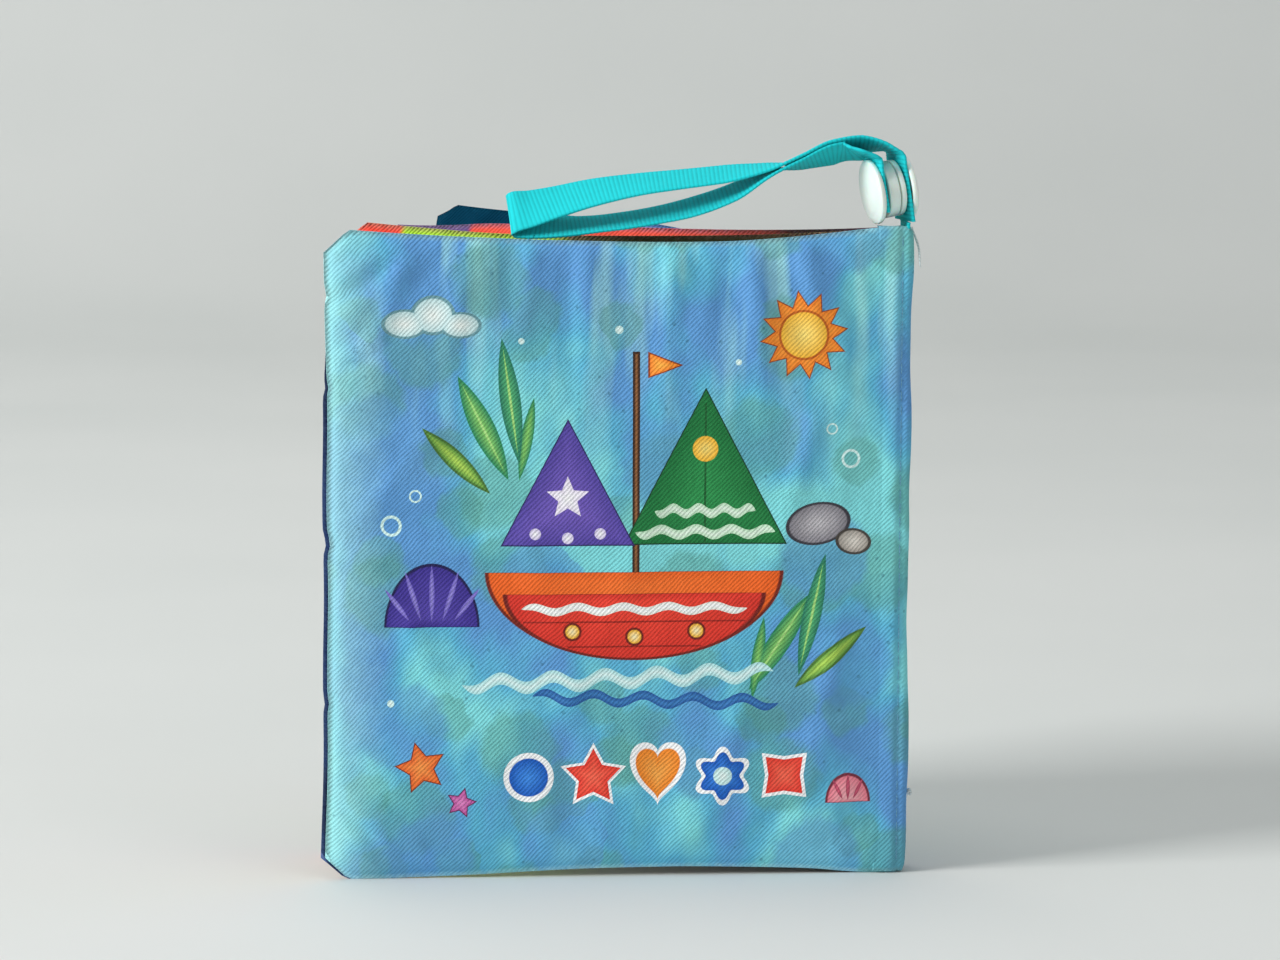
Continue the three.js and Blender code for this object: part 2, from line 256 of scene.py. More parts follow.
def grid_quads(index):
    """Faces between the neighbours of a grid of point numbers."""
    return np.stack([index[:-1, :-1], index[1:, :-1], index[1:, 1:], index[:-1, 1:]], -1).reshape(-1, 4)


def shell(name, outer, inner, uv, material, slot, rim=None):
    """Closed thin solid between two grids of points in the frame, with its print's place and way to the seam."""
    columns, rows = outer.shape[:2]
    count = columns * rows
    index = np.arange(count).reshape(columns, rows)
    quads = grid_quads(index)
    loop = np.concatenate([index[:, 0], index[-1, 1:], index[-2::-1, -1], index[0, -2:0:-1]])
    after = np.roll(loop, -1)
    sides = np.stack([loop, loop + count, after + count, after], -1)
    faces = np.concatenate([quads, quads[:, ::-1] + count, sides]).tolist()
    piece = solid_piece(name, np.concatenate([outer.reshape(-1, 3), inner.reshape(-1, 3)]), faces, material, slot)
    mesh = piece.data
    corners = np.zeros(len(mesh.loops), np.int32)
    mesh.loops.foreach_get("vertex_index", corners)
    both = np.tile(np.reshape(uv, (-1, 2)) / PRINT_SPAN, (2, 1))
    mesh.uv_layers.new(name="print").data.foreach_set("uv", both[corners].astype(np.float32).ravel())
    if rim is not None:
        attribute = mesh.attributes.new("rim", "FLOAT", "POINT")
        attribute.data.foreach_set("value", np.tile(np.ravel(rim), 2).astype(np.float32))
    return piece


# Printed shapes

def shape_level(add, across, up, shape, ratio, points=5, depth=0.45):
    """Value that is 0 in the middle of a printed shape and 1 on its outline."""
    if shape in ("block", "leaf", "heart", "ripple"):
        side = add("Math ABSOLUTE", across)
    if shape == "block":
        rise = add("Math ABSOLUTE", up)
        # The longer side is scaled about its edge, so that all four edges are equally sharp
        long, short, scale = (side, rise, ratio) if ratio > 1 else (rise, side, 1 / ratio)
        return add("Math MAXIMUM", add("Math MULTIPLY_ADD", long, scale, 1 - scale), short)
    if shape == "leaf":
        return add("Math MULTIPLY_ADD", up, up, side)
    if shape == "ripple":
        wave = add("Math SINE", add("Math MULTIPLY", across, points * math.pi))
        bent = add("Math ABSOLUTE", add("Math MULTIPLY_ADD", wave, depth, up))
        return add("Math ADD", bent, add("Math POWER", side, 16.0))
    if shape == "heart":
        up = add("Math MULTIPLY_ADD", add("Math SQRT", side), -0.7, up)
    distance = add("VectorMath LENGTH", add("CombineXYZ", across, up), out="Value")
    if shape == "bowl":
        return add("Math MAXIMUM", distance, add("Math MULTIPLY_ADD", up, 6.0, 1.0))
    if shape == "ring":
        off = add("Math ABSOLUTE", add("Math SUBTRACT", distance, 1 - depth))
        return add("Math DIVIDE", off, depth)
    if shape == "petals":
        angle = add("Math MULTIPLY", add("Math ARCTAN2", across, up), float(points))
        reach = add("Math MULTIPLY_ADD", add("Math COSINE", angle), depth / 2, 1 - depth / 2)
        return add("Math DIVIDE", distance, reach)
    if shape == "star":
        half = math.pi / points
        folded = add("Math PINGPONG", add("Math ARCTAN2", across, up), half)
        lean = (1 / depth - math.cos(half)) / math.sin(half)
        edge = add("Math MULTIPLY_ADD", add("Math SINE", folded), lean, add("Math COSINE", folded))
        return add("Math MULTIPLY", distance, edge)
    return distance


def printed(add, point, under, shape, paint, places, form={}):
    """Prints shapes of one kind over the colour under them, with a lighter middle and a darker outline.

    The point's third value is 1, so that one dot product shifts, turns and scales it.
    """
    form = {"rim": 0.3, **form}
    rim = form.pop("rim")
    level = None
    for x, y, wide, *more in places:
        high, turn = (*more, 0)[:2] if more else (wide, 0)
        c, s = math.cos(math.radians(turn)), math.sin(math.radians(turn))
        across, up = [add("VectorMath DOT_PRODUCT", point, row, out="Value")
                      for row in ((c / wide, s / wide, -(c * x + s * y) / wide),
                                  (-s / high, c / high, (s * x - c * y) / high))]
        found = shape_level(add, across, up, shape, wide / high, **form)
        level = found if level is None else add("Math MINIMUM", level, found)
    least = min(places[0][2:4])
    fill, shade, *line = paint.split()
    # Widths of the soft edge and of the line as shares of the first shape's half size, and where the line ends
    soft = min(0.16, 0.11 / least)
    width = min(0.4, rim / least) if line else 0.0
    stop = 0.92
    line = line[0] if line else shade
    ramp = add("ValToRGB", level, stops=[
        (0.0, fill), (max(0.3, stop - width - 1.6 * soft), shade), (max(0.32, stop - width), line), (stop, line),
        (min(1.0, stop + soft), line, 0),
    ])
    return add("Mix RGBA", {0: ramp.node.outputs["Alpha"], 6: under, 7: ramp}, out=2)


def mottled_ground(add, point, tones, patch, shift=0.0):
    """Watercolour ground: washes of three tones, pale strokes from the top, round patches, small specks and a painted
    highlight along the edge at x = 0.
    """
    low, middle, high, pale, dark = tones.split()
    point = add("VectorMath ADD", point, (shift, 0, 0))
    tall = add("Mapping", point, Scale=(1, 0.62, 1))
    wash = add("TexNoise 2D", tall, Scale=1 / WASH_SIZE, Detail=3.0, Roughness=0.55)
    colour = add("ValToRGB", wash, stops=[(0.38, low), (0.5, middle), (0.63, high)])
    # Pale upright strokes, 4 to 6 mm wide, that fade out a third of the way down
    strokes = add("TexNoise 2D", add("Mapping", point, Scale=(0.17, 0.022, 1)), Scale=1.0, Detail=2.5)
    strokes = add("MapRange", strokes, 0.46, 0.7)
    height = add("MapRange", add("SeparateXYZ", point, out=1), 72.0, 120.0, 0.0, 0.75)
    share = add("Math MULTIPLY", strokes, height)
    colour = add("Mix RGBA", {0: share, 6: colour, 7: pale}, out=2)
    # Round patches with a slightly ragged rim
    ragged = add("CombineXYZ", *[add("TexNoise 2D", place, Scale=0.3, Detail=4.0) for place in (point, tall)])
    ragged = add("VectorMath ADD", add("VectorMath SCALE", ragged, Scale=3.5), point)
    for size, offset, least, strength, tone in ((24.0, 0.0, 0.35, 0.5, patch), (15.0, 31.0, 0.55, 0.45, patch),
                                                (27.0, 57.0, 0.5, 0.5, low)):
        moved = add("VectorMath ADD", ragged, (offset, offset, 0))
        cells = add("TexVoronoi 2D", moved, Scale=1 / size, Randomness=0.9)
        bound = add("MapRange", cells, 0.25, 0.34, strength, 0.0, interpolation_type="SMOOTHSTEP")
        pick = add("Math GREATER_THAN", add("SeparateColor", cells.node.outputs["Color"]), least)
        share = add("Math MULTIPLY", bound, pick)
        colour = add("Mix RGBA", {0: share, 6: colour, 7: tone}, out=2)
    # Painted highlight: paler towards the edge at x = 0, which on the back cover is the rounded fore edge that the
    # light from the left falls on
    share = add("MapRange", add("SeparateXYZ", ragged), 3.5, 13.0, 0.5, 0.0)
    colour = add("Mix RGBA", {0: share, 6: colour, 7: pale}, out=2)
    # Splashed specks of 0.3 to 0.8 mm, in loose groups
    specks = add("TexVoronoi 2D", point, Scale=0.32)
    kept = add("SeparateColor", specks.node.outputs["Color"], out=1)
    kept = add("Math MULTIPLY_ADD", add("TexNoise 2D", point, Scale=0.045), 1.6, kept)
    reach = add("MapRange", kept, 1.45, 1.9, 0.0, 0.13)
    share = add("MapRange", add("Math SUBTRACT", reach, specks), 0.0, 0.05, 0.0, 0.4)
    return add("Mix RGBA", {0: share, 6: colour, 7: dark}, out=2)


def split_ground(add, point, tones, edges):
    """Ground in three upright fields with soft wavy bounds, from the leaf's fore edge towards the spine."""
    first, second, third = tones.split()
    a, b = edges
    wobble = add("TexNoise 2D", point, Scale=0.05, Detail=2.0)
    across = add("Math MULTIPLY_ADD", wobble, 3.0, add("SeparateXYZ", point))
    return add("ValToRGB", add("Math DIVIDE", across, LEAF_LENGTH), stops=[
        (0.0, first), (a - 0.004, first), (a + 0.004, second), (b - 0.02, second), (b + 0.02, third)])


def printed_twill(name, ground, stamps, wear, gloss=0.3):
    """Polyester twill, printed and turned at the seams.

    The eye gets fine slanting ribs, bumped and with painted light and shade in their colour, a soft satin light along
    the folds and a paler, rubbed seam edge.
    The real ribs lie 0.45 mm apart; they are drawn at 0.62 mm, so that they show in the render.
    """
    material, add = new_material(name, Roughness=0.62, IOR=1.5, Specular_IOR_Level=gloss, Sheen_Weight=gloss / 8,
                                 Sheen_Roughness=0.4)
    point = add("VectorMath SCALE", add("UVMap", uv_map="print"), Scale=PRINT_SPAN)
    colour = ground(add, point)
    # A trace of the ground goes into the shapes' point, so that the ground is worked out before them
    place = add("VectorMath ADD", point, (0, 0, 1))
    place = add("VectorMath MULTIPLY_ADD", colour, (1e-6, 1e-6, 0), place)
    for stamp in stamps:
        colour = printed(add, place, colour, *stamp)
    # Slanting ribs of the weave, a little uneven, and the fine threads that cross them
    rate = 2 * math.pi / (TWILL_PITCH * math.sqrt(2))
    phase = add("VectorMath DOT_PRODUCT", point, (rate, -rate, 0), out="Value")
    waver = add("TexNoise 2D", point, Scale=0.16, Detail=2.0)
    ribs = add("Math SINE", add("Math MULTIPLY_ADD", waver, 7.0, phase))
    slubs = add("TexNoise 2D", add("Mapping", point, Scale=(0.5, 2.6, 1)), Scale=1.0, Detail=2.0)
    weave = add("Math MULTIPLY_ADD", slubs, 1.4, ribs)
    # The colour is partly the print's ink mottle and partly painted light and shade on the weave: lighter on the ribs
    # and slubs, darker between them
    inked = add("TexNoise 2D", point, Scale=0.55, Detail=5.0, Roughness=0.7)
    inked = add("Math MULTIPLY_ADD", inked, 5.0, weave)
    mottle_and_rib_light = add("MapRange", inked, 0.4, 6.0, 0.91, 1.08)
    colour = add("Mix RGBA", {0: 1.0, 6: colour, 7: mottle_and_rib_light}, out=2, blend_type="MULTIPLY")
    # Rubbed edge along the seams
    rim = add("Attribute", out="Fac", attribute_name="rim")
    grain = add("TexNoise 2D", point, Scale=0.9, Detail=4.0)
    share = add("Math MULTIPLY", add("MapRange", rim, 0.0, 1.1, 0.75, 0.0), grain)
    add("Mix RGBA", {0: share, 6: colour, 7: wear}, out=2, to="Base Color")
    crumple = add("TexNoise 2D", point, Scale=0.14, Detail=5.0, Roughness=0.6)
    soft = add("Bump", Strength=0.5, Distance=0.0009, Height=crumple)
    add("Bump", Strength=0.5, Distance=0.00008, Height=weave, Normal=soft, to="Normal")
    return material


# The prints, with x from the left edge as the face is seen and y from the foot, in millimetres.
# A stamp gives its shape, the colours of its middle, its edge and its line, its places and its form. A place
# is x, y, half the width, and then half the height and the turn in degrees where they differ from it and 0.

COVER_STAMPS = (
    # Reeds at both sides of the boat, with their ribs
    ("leaf", "#8AD06A #2F8F5E", [(29, 84, 2.3, 11, 26), (37, 82, 1.2, 8, -10), (84, 44, 2.2, 11, -32),
     (80, 41, 1.2, 8, -8)]),
    ("leaf", "#5CBF7A #2C8466", [(34, 89, 2, 12, 8), (90, 49, 1.8, 12, -12)]),
    ("leaf", "#B6DC5B #6AA445 #4E7A34", [(24, 78, 1.8, 9, 46), (93.5, 41, 1.7, 9, -50)]),
    ("leaf", "#BFEA92 #9AD878", [(29, 84, 0.28, 9, 26), (34, 89, 0.26, 10, 8), (84, 44, 0.28, 9, -32),
     (90, 49, 0.26, 10, -12)]),
    # Mast, pennant and sails with their stripes and dots
    ("block", "#9A6A3E #7A4A28 #3E2414", [(57.2, 76, 0.7, 22)]),
    ("star", "#FFB545 #FF8A2A #8E3A12", [(61.5, 95.5, 3, 4.6, -90)], {"points": 3, "depth": 0.5}),
    ("star", "#2E9A52 #14753A #0C3A20", [(70, 72, 19, 21)], {"points": 3, "depth": 0.5}),
    ("star", "#7B62C4 #5747A5 #2C2260", [(44.6, 70, 15.5, 17)], {"points": 3, "depth": 0.5}),
    ("block", "#1B6A34 #125A2A", [(70, 75.5, 0.18, 13)]),
    ("oval", "#FFE27A #FFC23E", [(70, 80, 2.5)]),
    ("ripple", "#E4F6E4 #C9EBCB", [(70, 68.5, 9.4, 0.9), (70, 64.6, 13, 0.9)], {"points": 4, "depth": 0.6}),
    ("star", "#FFFFFF #F2E9FA", [(44.6, 71, 4.4)]),
    ("oval", "#FFFFFF #E4DAF6", [(38.6, 64.4, 1.1), (44.6, 63.6, 1.1), (50.6, 64.4, 1.1)]),
    # Hull with its band, planks and portholes
    ("bowl", "#FF7A2E #F5661E #7A2410", [(57, 57.5, 30, 18)]),
    ("bowl", "#FF4A35 #DE3426 #7A1E14", [(57, 53.4, 26.4, 13.6)]),
    ("block", "#A82418 #9C2016", [(57, 48, 20.6, 0.16), (57, 43.4, 12.4, 0.16)]),
    ("ripple", "#FFFFFF #F2F4EC", [(57, 50.4, 21, 0.8)], {"depth": 0.6}),
    ("oval", "#FFF3C0 #FFC23E #7A1E14", [(45.5, 46.2, 1.8), (57, 45.2, 1.8), (68.5, 46.2, 1.8)]),
    # Waves under the hull
    ("ripple", "#DDF6F4 #B9E9EA", [(54, 37.4, 29, 1.2, 2)], {"points": 6, "depth": 0.8}),
    ("ripple", "#3C7FC0 #2B63A8", [(61, 33.4, 23, 0.9, -2)], {"depth": 0.9}),
    # Large shell at the left, and stones at the right
    ("bowl", "#5A4AB0 #3E2F92 #1C1650", [(19.5, 47, 9.6, 13, 180)]),
    ("leaf", "#9A8EDC #7A6CC8", [(19.5, 53.4, 0.5, 5.4), (16, 53, 0.5, 4.9, 18), (23, 53, 0.5, 4.9, -18),
     (13, 51.4, 0.5, 3.8, 38), (26, 51.4, 0.5, 3.8, -38)]),
    ("oval", "#C4C0C4 #8C8890 #3E3C44", [(91, 66, 6.6, 4.2, 10)]),
    ("oval", "#E5DED4 #AFA79E #4A443E", [(97.6, 62.6, 3.6, 2.6, -8)]),
    # Sun with rays, and a cloud
    ("star", "#FFB545 #FF8A2A #9A4414", [(88, 101, 9, 9, 8)], {"points": 12, "depth": 0.66}),
    ("oval", "#FFE27A #FFC23E #C9641A", [(88, 101, 5)]),
    ("oval", "#F4FBF6 #C6E6E8 #6F9FA8", [(14.6, 103.2, 4.6, 2.9), (24.8, 103, 4.2, 2.6), (19.8, 104.8, 4.4, 3.9)]),
    # Starfish and shell in the lower corners
    ("star", "#FF9C4A #F06A2A #7E2E14", [(17.5, 21, 5.4, 5.4, 14)], {"depth": 0.5}),
    ("star", "#E88AC8 #C85AA4 #6A2A58", [(25, 14.4, 3.2, 3.2, -14)], {"depth": 0.5}),
    ("bowl", "#FFC0C4 #F28394 #7E2E3E", [(97, 13.6, 4.6, 6, 180)]),
    ("leaf", "#D9607A #C04A66", [(97, 16.5, 0.4, 2.5), (95.1, 16.1, 0.36, 2.1, 26), (98.9, 16.1, 0.36, 2.1, -26)]),
    # Row of plain shapes with white rims
    ("oval", "#3F8FEA #0F5CC0 #FFFFFF", [(37.5, 19, 5)], {"rim": 0.9}),
    ("star", "#FF6A50 #EE3B2C #FFFFFF", [(49.5, 19, 6.9)], {"depth": 0.52, "rim": 0.9}),
    ("heart", "#FFAE4E #F98A22 #FFFFFF", [(61.5, 18.4, 5.6, 5.4)], {"rim": 0.9}),
    ("petals", "#3F8FEA #0F5CC0 #FFFFFF", [(73.5, 19, 6)], {"points": 6, "depth": 0.3, "rim": 0.9}),
    ("star", "#FF6A50 #EE3B2C #FFFFFF", [(85, 19, 6.4, 6.4, 45)], {"points": 4, "depth": 0.6, "rim": 0.9}),
    # Bubbles, and the middle of the flower in the row
    ("ring", "#E6FFFB #C9F3F0", [(12, 66, 2), (16.5, 71.5, 1.2), (97, 78, 1.8), (93.4, 83.6, 1.1)], {"depth": 0.15}),
    ("oval", "#F2FFFB #D3F5F2", [(54, 102, 0.8), (11.8, 33, 0.7), (76, 96, 0.6), (36, 100, 0.6), (73.5, 19, 1.8)]),
)
MOON_STAMPS = (
    ("star", "#FFE27A #FFC23E", [(30, 88, 9, 9, 10)]),
    ("star", "#FFFFFF #F2E7C4", [(76, 98, 5, 5, -8)], {"points": 4, "depth": 0.35}),
    ("star", "#FFFFFF #F2E7C4", [(58, 72, 4, 4, 20)], {"points": 4, "depth": 0.35}),
    ("star", "#BFE6FF #8FC8F0", [(20, 58, 4, 4, 5)], {"points": 4, "depth": 0.35}),
    ("oval", "#FFF3C0 #F5D878 #A88A3A", [(74, 46, 15)]),
    ("oval", "#E6C766 #D9B650", [(69, 50, 3.4, 2.8)]),
    ("oval", "#E6C766 #D9B650", [(79, 41, 2.6, 2.2)]),
    ("ripple", "#4B86D0 #2F63AA", [(53, 20, 40, 2.2)], {"points": 7, "depth": 0.8}),
    ("ripple", "#78B8E6 #4B86D0", [(53, 13, 40, 2)], {"points": 6, "depth": 0.8}),
    ("oval", "#FFFFFF #F2E7C4", [(97, 78, 1.2), (91, 66, 0.8), (99, 58, 0.9), (95, 106, 1), (98, 30, 1.1)]),
)
SUNFLOWER_STAMPS = (
    ("leaf", "#4FAF50 #2C7A3C #17502A", [(40, 34, 5, 16, 40), (70, 34, 5, 16, -40)]),
    ("block", "#4FAF50 #2C7A3C #17502A", [(55, 34, 1.5, 22)]),
    ("petals", "#FFD23E #FFB01E #C7641A", [(55, 72, 27)], {"points": 14, "depth": 0.34}),
    ("oval", "#8A4A22 #6A3216 #40200E", [(55, 72, 12.5)]),
    ("ring", "#B46A30 #A05A28", [(55, 72, 9)], {"depth": 0.12}),
    ("oval", "#FFE27A #FFC23E", [(7, 104, 1.7), (7, 87, 1.7), (7, 70, 1.7), (7, 53, 1.7), (7, 36, 1.7),
     (7, 19, 1.7)]),
    ("petals", "#FFFFFF #F4F8E6 #7FA52A", [(22.5, 98, 5), (24, 20, 4.4, 4.4, 12), (92, 96, 5, 5, 20)],
     {"depth": 0.35}),
    ("oval", "#FFD23E #FFB01E", [(22.5, 98, 1.6), (24, 20, 1.4), (92, 96, 1.6), (90, 52, 2.4)]),
)
APPLE_STAMPS = (
    ("leaf", "#3E9A44 #24702E #17502A", [(33, 52, 3, 10, 32), (78, 96, 3, 10, -30)]),
    ("heart", "#FF5E4A #E23A2A #8E1C18", [(30, 34, 15), (74, 78, 15)]),
    ("petals", "#FFFFFF #F2E9F5 #B08AC0", [(30, 88, 11), (76, 32, 11, 11, 20)], {"depth": 0.4}),
    ("oval", "#FFD23E #FFB01E", [(30, 88, 3.6), (76, 32, 3.6)]),
    ("oval", "#FF6A4E #E2432E", [(98, 102, 1.5), (98, 62, 1.4), (98, 52, 1), (97, 14, 1.5), (52, 56, 1.6)]),
)
NIGHT_STAMPS = (
    ("oval", "#FFB0C2 #F27A96 #8E2F55", [(58, 74, 19)]),
    ("ring", "#FFF3C0 #F5D878", [(58, 74, 13.5)], {"depth": 0.14}),
    ("star", "#FFFFFF #FFE27A", [(58, 74, 8)]),
    ("star", "#8FE0C8 #5CBFA6", [(26, 40, 6, 6, 12)]),
    ("star", "#8FC8F0 #5C9FD8", [(84, 36, 6, 6, -12)]),
    ("oval", "#FFD23E #FFB01E", [(56, 24, 5)]),
    ("star", "#FFE27A #FFC23E", [(10, 103, 3.2, 3.2, 8), (9, 62, 2.7, 2.7, -10), (12, 19, 3, 3, 5)]),
    ("oval", "#FFFFFF #E3D6F2", [(14, 84, 1.4), (6, 91, 0.8), (6, 45, 1.1), (16, 35, 0.9), (28, 98, 2)]),
)
TULIP_STAMPS = (
    ("block", "#3E9A44 #24702E", [(34, 42, 1.2, 20), (72, 38, 1.2, 18)]),
    ("leaf", "#4FAF50 #2C7A3C", [(28, 36, 3, 12, 22), (78, 32, 3, 11, -22)]),
    ("petals", "#FFE27A #FFC23E #B4741A", [(34, 72, 14)], {"points": 3, "depth": 0.4}),
    ("petals", "#FF6A4E #E2432E #8E1C18", [(72, 64, 12)], {"points": 3, "depth": 0.4}),
    ("heart", "#FFFFFF #FFE3EA #D2607E", [(95, 78, 3.6), (97, 50, 3), (96, 24, 3.4)]),
    ("oval", "#FFFFFF #FFE3EA", [(88, 98, 6, 4)]),
    ("oval", "#FFFFFF #FFE3EA", [(80, 100, 5, 4.6)]),
)
SKY_STAMPS = (
    ("oval", "#FF6A4E #E2432E #8E1C18", [(70, 76, 15, 18)]),
    ("oval", "#FFD23E #FFB01E", [(70, 76, 7, 17.4)]),
    ("block", "#B4743A #8A5424 #4A2A16", [(70, 50, 4.5, 3.4)]),
    ("oval", "#FFFFFF #E8F4FA", [(26, 90, 9, 5)]),
    ("oval", "#FFFFFF #E8F4FA", [(36, 92, 7, 5.6)]),
    ("oval", "#FFFFFF #E8F4FA", [(24, 44, 9, 5)]),
    ("ripple", "#4FAF50 #2C7A3C", [(53, 17, 42, 3)], {"depth": 0.7}),
    ("star", "#FFE27A #FFC23E", [(10, 104, 2.6, 2.6, 10), (8, 72, 2.2), (13, 32, 2.4, 2.4, 16)],
     {"points": 4, "depth": 0.35}),
)
LIGHTHOUSE_STAMPS = (
    # Hills, reeds and waves
    ("bowl", "#9BC75A #5E9A3E #2C5A22", [(53, 30, 33, 22, 180)]),
    ("bowl", "#B6DC5B #7DB445 #3C6A28", [(33, 30, 17, 13, 180)]),
    ("leaf", "#8AD06A #2F8F5E", [(80, 36, 1.8, 10, -14), (85, 34, 1.6, 9, -30), (24, 44, 1.5, 8, 14)]),
    ("ripple", "#DDF6F4 #B9E9EA", [(53, 29.4, 42, 1.5)], {"points": 8, "depth": 0.8}),
    ("ripple", "#3C7FC0 #2B63A8", [(53, 25, 36, 1.1)], {"points": 7, "depth": 0.9}),
    # Tower with its bands, door and windows
    ("block", "#FFFFFF #E9E6DE #4A2A16", [(53, 66, 7.4, 20)]),
    ("block", "#FF4A35 #DE3426", [(53, 56, 7, 3.4), (53, 71, 7, 3.4)]),
    ("oval", "#3F8FEA #0F5CC0 #4A2A16", [(53, 78.6, 1.8, 2.2), (53, 63.4, 1.8, 2.2)]),
    ("bowl", "#B4743A #8A5424 #4A2A16", [(53, 50.4, 2.6, 3.6, 180)]),
    ("block", "#B4743A #8A5424 #4A2A16", [(53, 48.6, 2.5, 2.2)]),
    # Lamp room, gallery and roof
    ("block", "#FFF3C0 #FFC23E #4A2A16", [(53, 90.4, 4.8, 4.2)]),
    ("block", "#4A2A16 #4A2A16", [(53, 90.4, 0.35, 4)]),
    ("block", "#7B62C4 #5747A5 #2C2260", [(53, 86.4, 9.2, 1.2)]),
    ("bowl", "#FF7A2E #F5661E #7A2410", [(53, 94.2, 6.6, 6, 180)]),
    ("oval", "#FFE27A #FFC23E #7A2410", [(53, 101, 1.1)]),
    # Sun, cloud and small stars
    ("star", "#FFB545 #FF8A2A #9A4414", [(83, 98, 9.4, 9.4, 8)], {"points": 12, "depth": 0.66}),
    ("oval", "#FFE27A #FFC23E #C9641A", [(83, 98, 5.2)]),
    ("oval", "#F4FBF6 #C6E6E8 #6F9FA8", [(20, 92, 5, 3.2), (31, 92, 4.6, 2.9), (25.6, 94, 4.8, 4.3)]),
    ("star", "#FFFFFF #F2E9FA", [(28, 70, 2.8, 2.8, 12), (80, 70, 2.4, 2.4, -8), (90, 58, 1.8, 1.8, 4)]),
    # Row of plain shapes with white rims
    ("heart", "#FF6A50 #EE3B2C #FFFFFF", [(24, 12.6, 4.6, 4.4)], {"rim": 0.8}),
    ("star", "#FFAE4E #F98A22 #FFFFFF", [(38.5, 13, 5.6)], {"depth": 0.52, "rim": 0.8}),
    ("oval", "#3F8FEA #0F5CC0 #FFFFFF", [(53, 13, 4.1)], {"rim": 0.8}),
    ("petals", "#FF6A50 #EE3B2C #FFFFFF", [(67.5, 13, 5)], {"depth": 0.3, "rim": 0.8}),
    ("star", "#FFAE4E #F98A22 #FFFFFF", [(82, 13, 5.2, 5.2, 45)], {"points": 4, "depth": 0.6, "rim": 0.8}),
)

# Three washes, the tone of the strokes from the top and of the painted highlight at the edge at x = 0, and the specks
SEA = partial(mottled_ground, tones="#609FDA #5FBADC #84E0E4 #B4F4EE #2F6478", patch="#5FA79A")
# The spine cloth's print runs on round the spine, from the back cover to the front cover
SPINE_RUN = 118.66
# Slot, ground, stamps and colour of the rubbed seams
PRINTS = {
    "back_cover_back": ("cover_cloth", SEA, COVER_STAMPS, "#BFEFF2"),
    "back_cover_front": ("cover_lining", partial(mottled_ground, tones="#1F2E5C #2B3F7B #33508F #4A68A8 #16224A",
                                                 patch="#3F5FA0"), MOON_STAMPS, "#7C8FB8"),
    "back_page_back": ("page_cloth", partial(split_ground, tones="#FF4A35 #B7EE2E #4E5420", edges=(0.135, 0.42)),
                       SUNFLOWER_STAMPS, "#FFC0A8"),
    "back_page_front": ("page_cloth", partial(mottled_ground, tones="#A6E02C #BDEB3F #CDF25C #E2F98C #6FA41E",
                                              patch="#9BD83A"), APPLE_STAMPS, "#E6F7A8"),
    "front_page_back": ("page_cloth", partial(split_ground, tones="#5A3F7E #F04C38 #6A2E22", edges=(0.21, 0.8)),
                        NIGHT_STAMPS, "#B59AC8"),
    "front_page_front": ("page_cloth", partial(mottled_ground, tones="#F58CA6 #F79FB4 #FBB6C2 #FFD2DA #C85A7C",
                                               patch="#F3809E"), TULIP_STAMPS, "#FFD6DE"),
    "front_cover_back": ("cover_lining", partial(split_ground, tones="#01344B #033D58 #5E86BC", edges=(0.2, 0.44)),
                         SKY_STAMPS, "#0F5470"),
    "front_cover_front": ("cover_cloth", partial(SEA, shift=SPINE_RUN), LIGHTHOUSE_STAMPS, "#BFEFF2"),
}


# Leaf shape

def drawn_share(d):
    """How far the seams draw in at a distance from the root: 0 at both ends and 1 in the middle."""
    return 1 - np.abs(2 * d / LEAF_LENGTH - 1) ** 2.5


def corner_loss(d):
    """How much the cut corner takes off the leaf's height."""
    return np.maximum(0, d - (LEAF_LENGTH - CORNER_CUT))


def top_seam(d):
    return LEAF_HEIGHT - TOP_DRAW * drawn_share(d) - corner_loss(d)


def bottom_seam(d):
    return np.maximum(0, BOTTOM_DRAW * drawn_share(d) + corner_loss(d) - GROUND_CUT)


def slope_share(distance):
    """Share of the full padded height at a distance from a seam."""
    return 1 - (1 - np.clip(distance / EDGE_SLOPE, 0, 1)) ** 2.2


def eased(count):
    """Steps from 0 to 1 that are a little closer together at both ends."""
    t = np.linspace(0, 1, count + 1)
    return t * 0.8 + 0.2 * (1 - np.cos(np.pi * t)) / 2


def leaf_grid():
    """Distances from the root and heights of the leaf's points, and how far each lies from the seam."""
    columns, rows = round(LEAF_LENGTH / GRID_STEP), round(LEAF_HEIGHT / GRID_STEP)
    d = LEAF_LENGTH * eased(columns)[:, None] * np.ones((1, rows + 1))
    share = eased(rows)[None, :] * np.ones((columns + 1, 1))
    low, high = bottom_seam(d), top_seam(d)
    h = low + (high - low) * share
    pulled = FORE_DRAW * (1 - (2 * share - 1) ** 2) * (d / LEAF_LENGTH) ** 8
    rim = np.minimum(np.minimum(LEAF_LENGTH - d, d + 3), np.minimum(h - low, high - h))
    return d - pulled, h, rim, d


def pillow_rise(d, h):
    """Height of the padded face over the seam's plane, without its folds."""
    sideways = slope_share(np.minimum(d - ROOT_STRIP, LEAF_LENGTH - d))
    upright = slope_share(np.minimum(h - bottom_seam(d), top_seam(d) - h))
    return np.maximum(0, sideways) * upright * CROWN


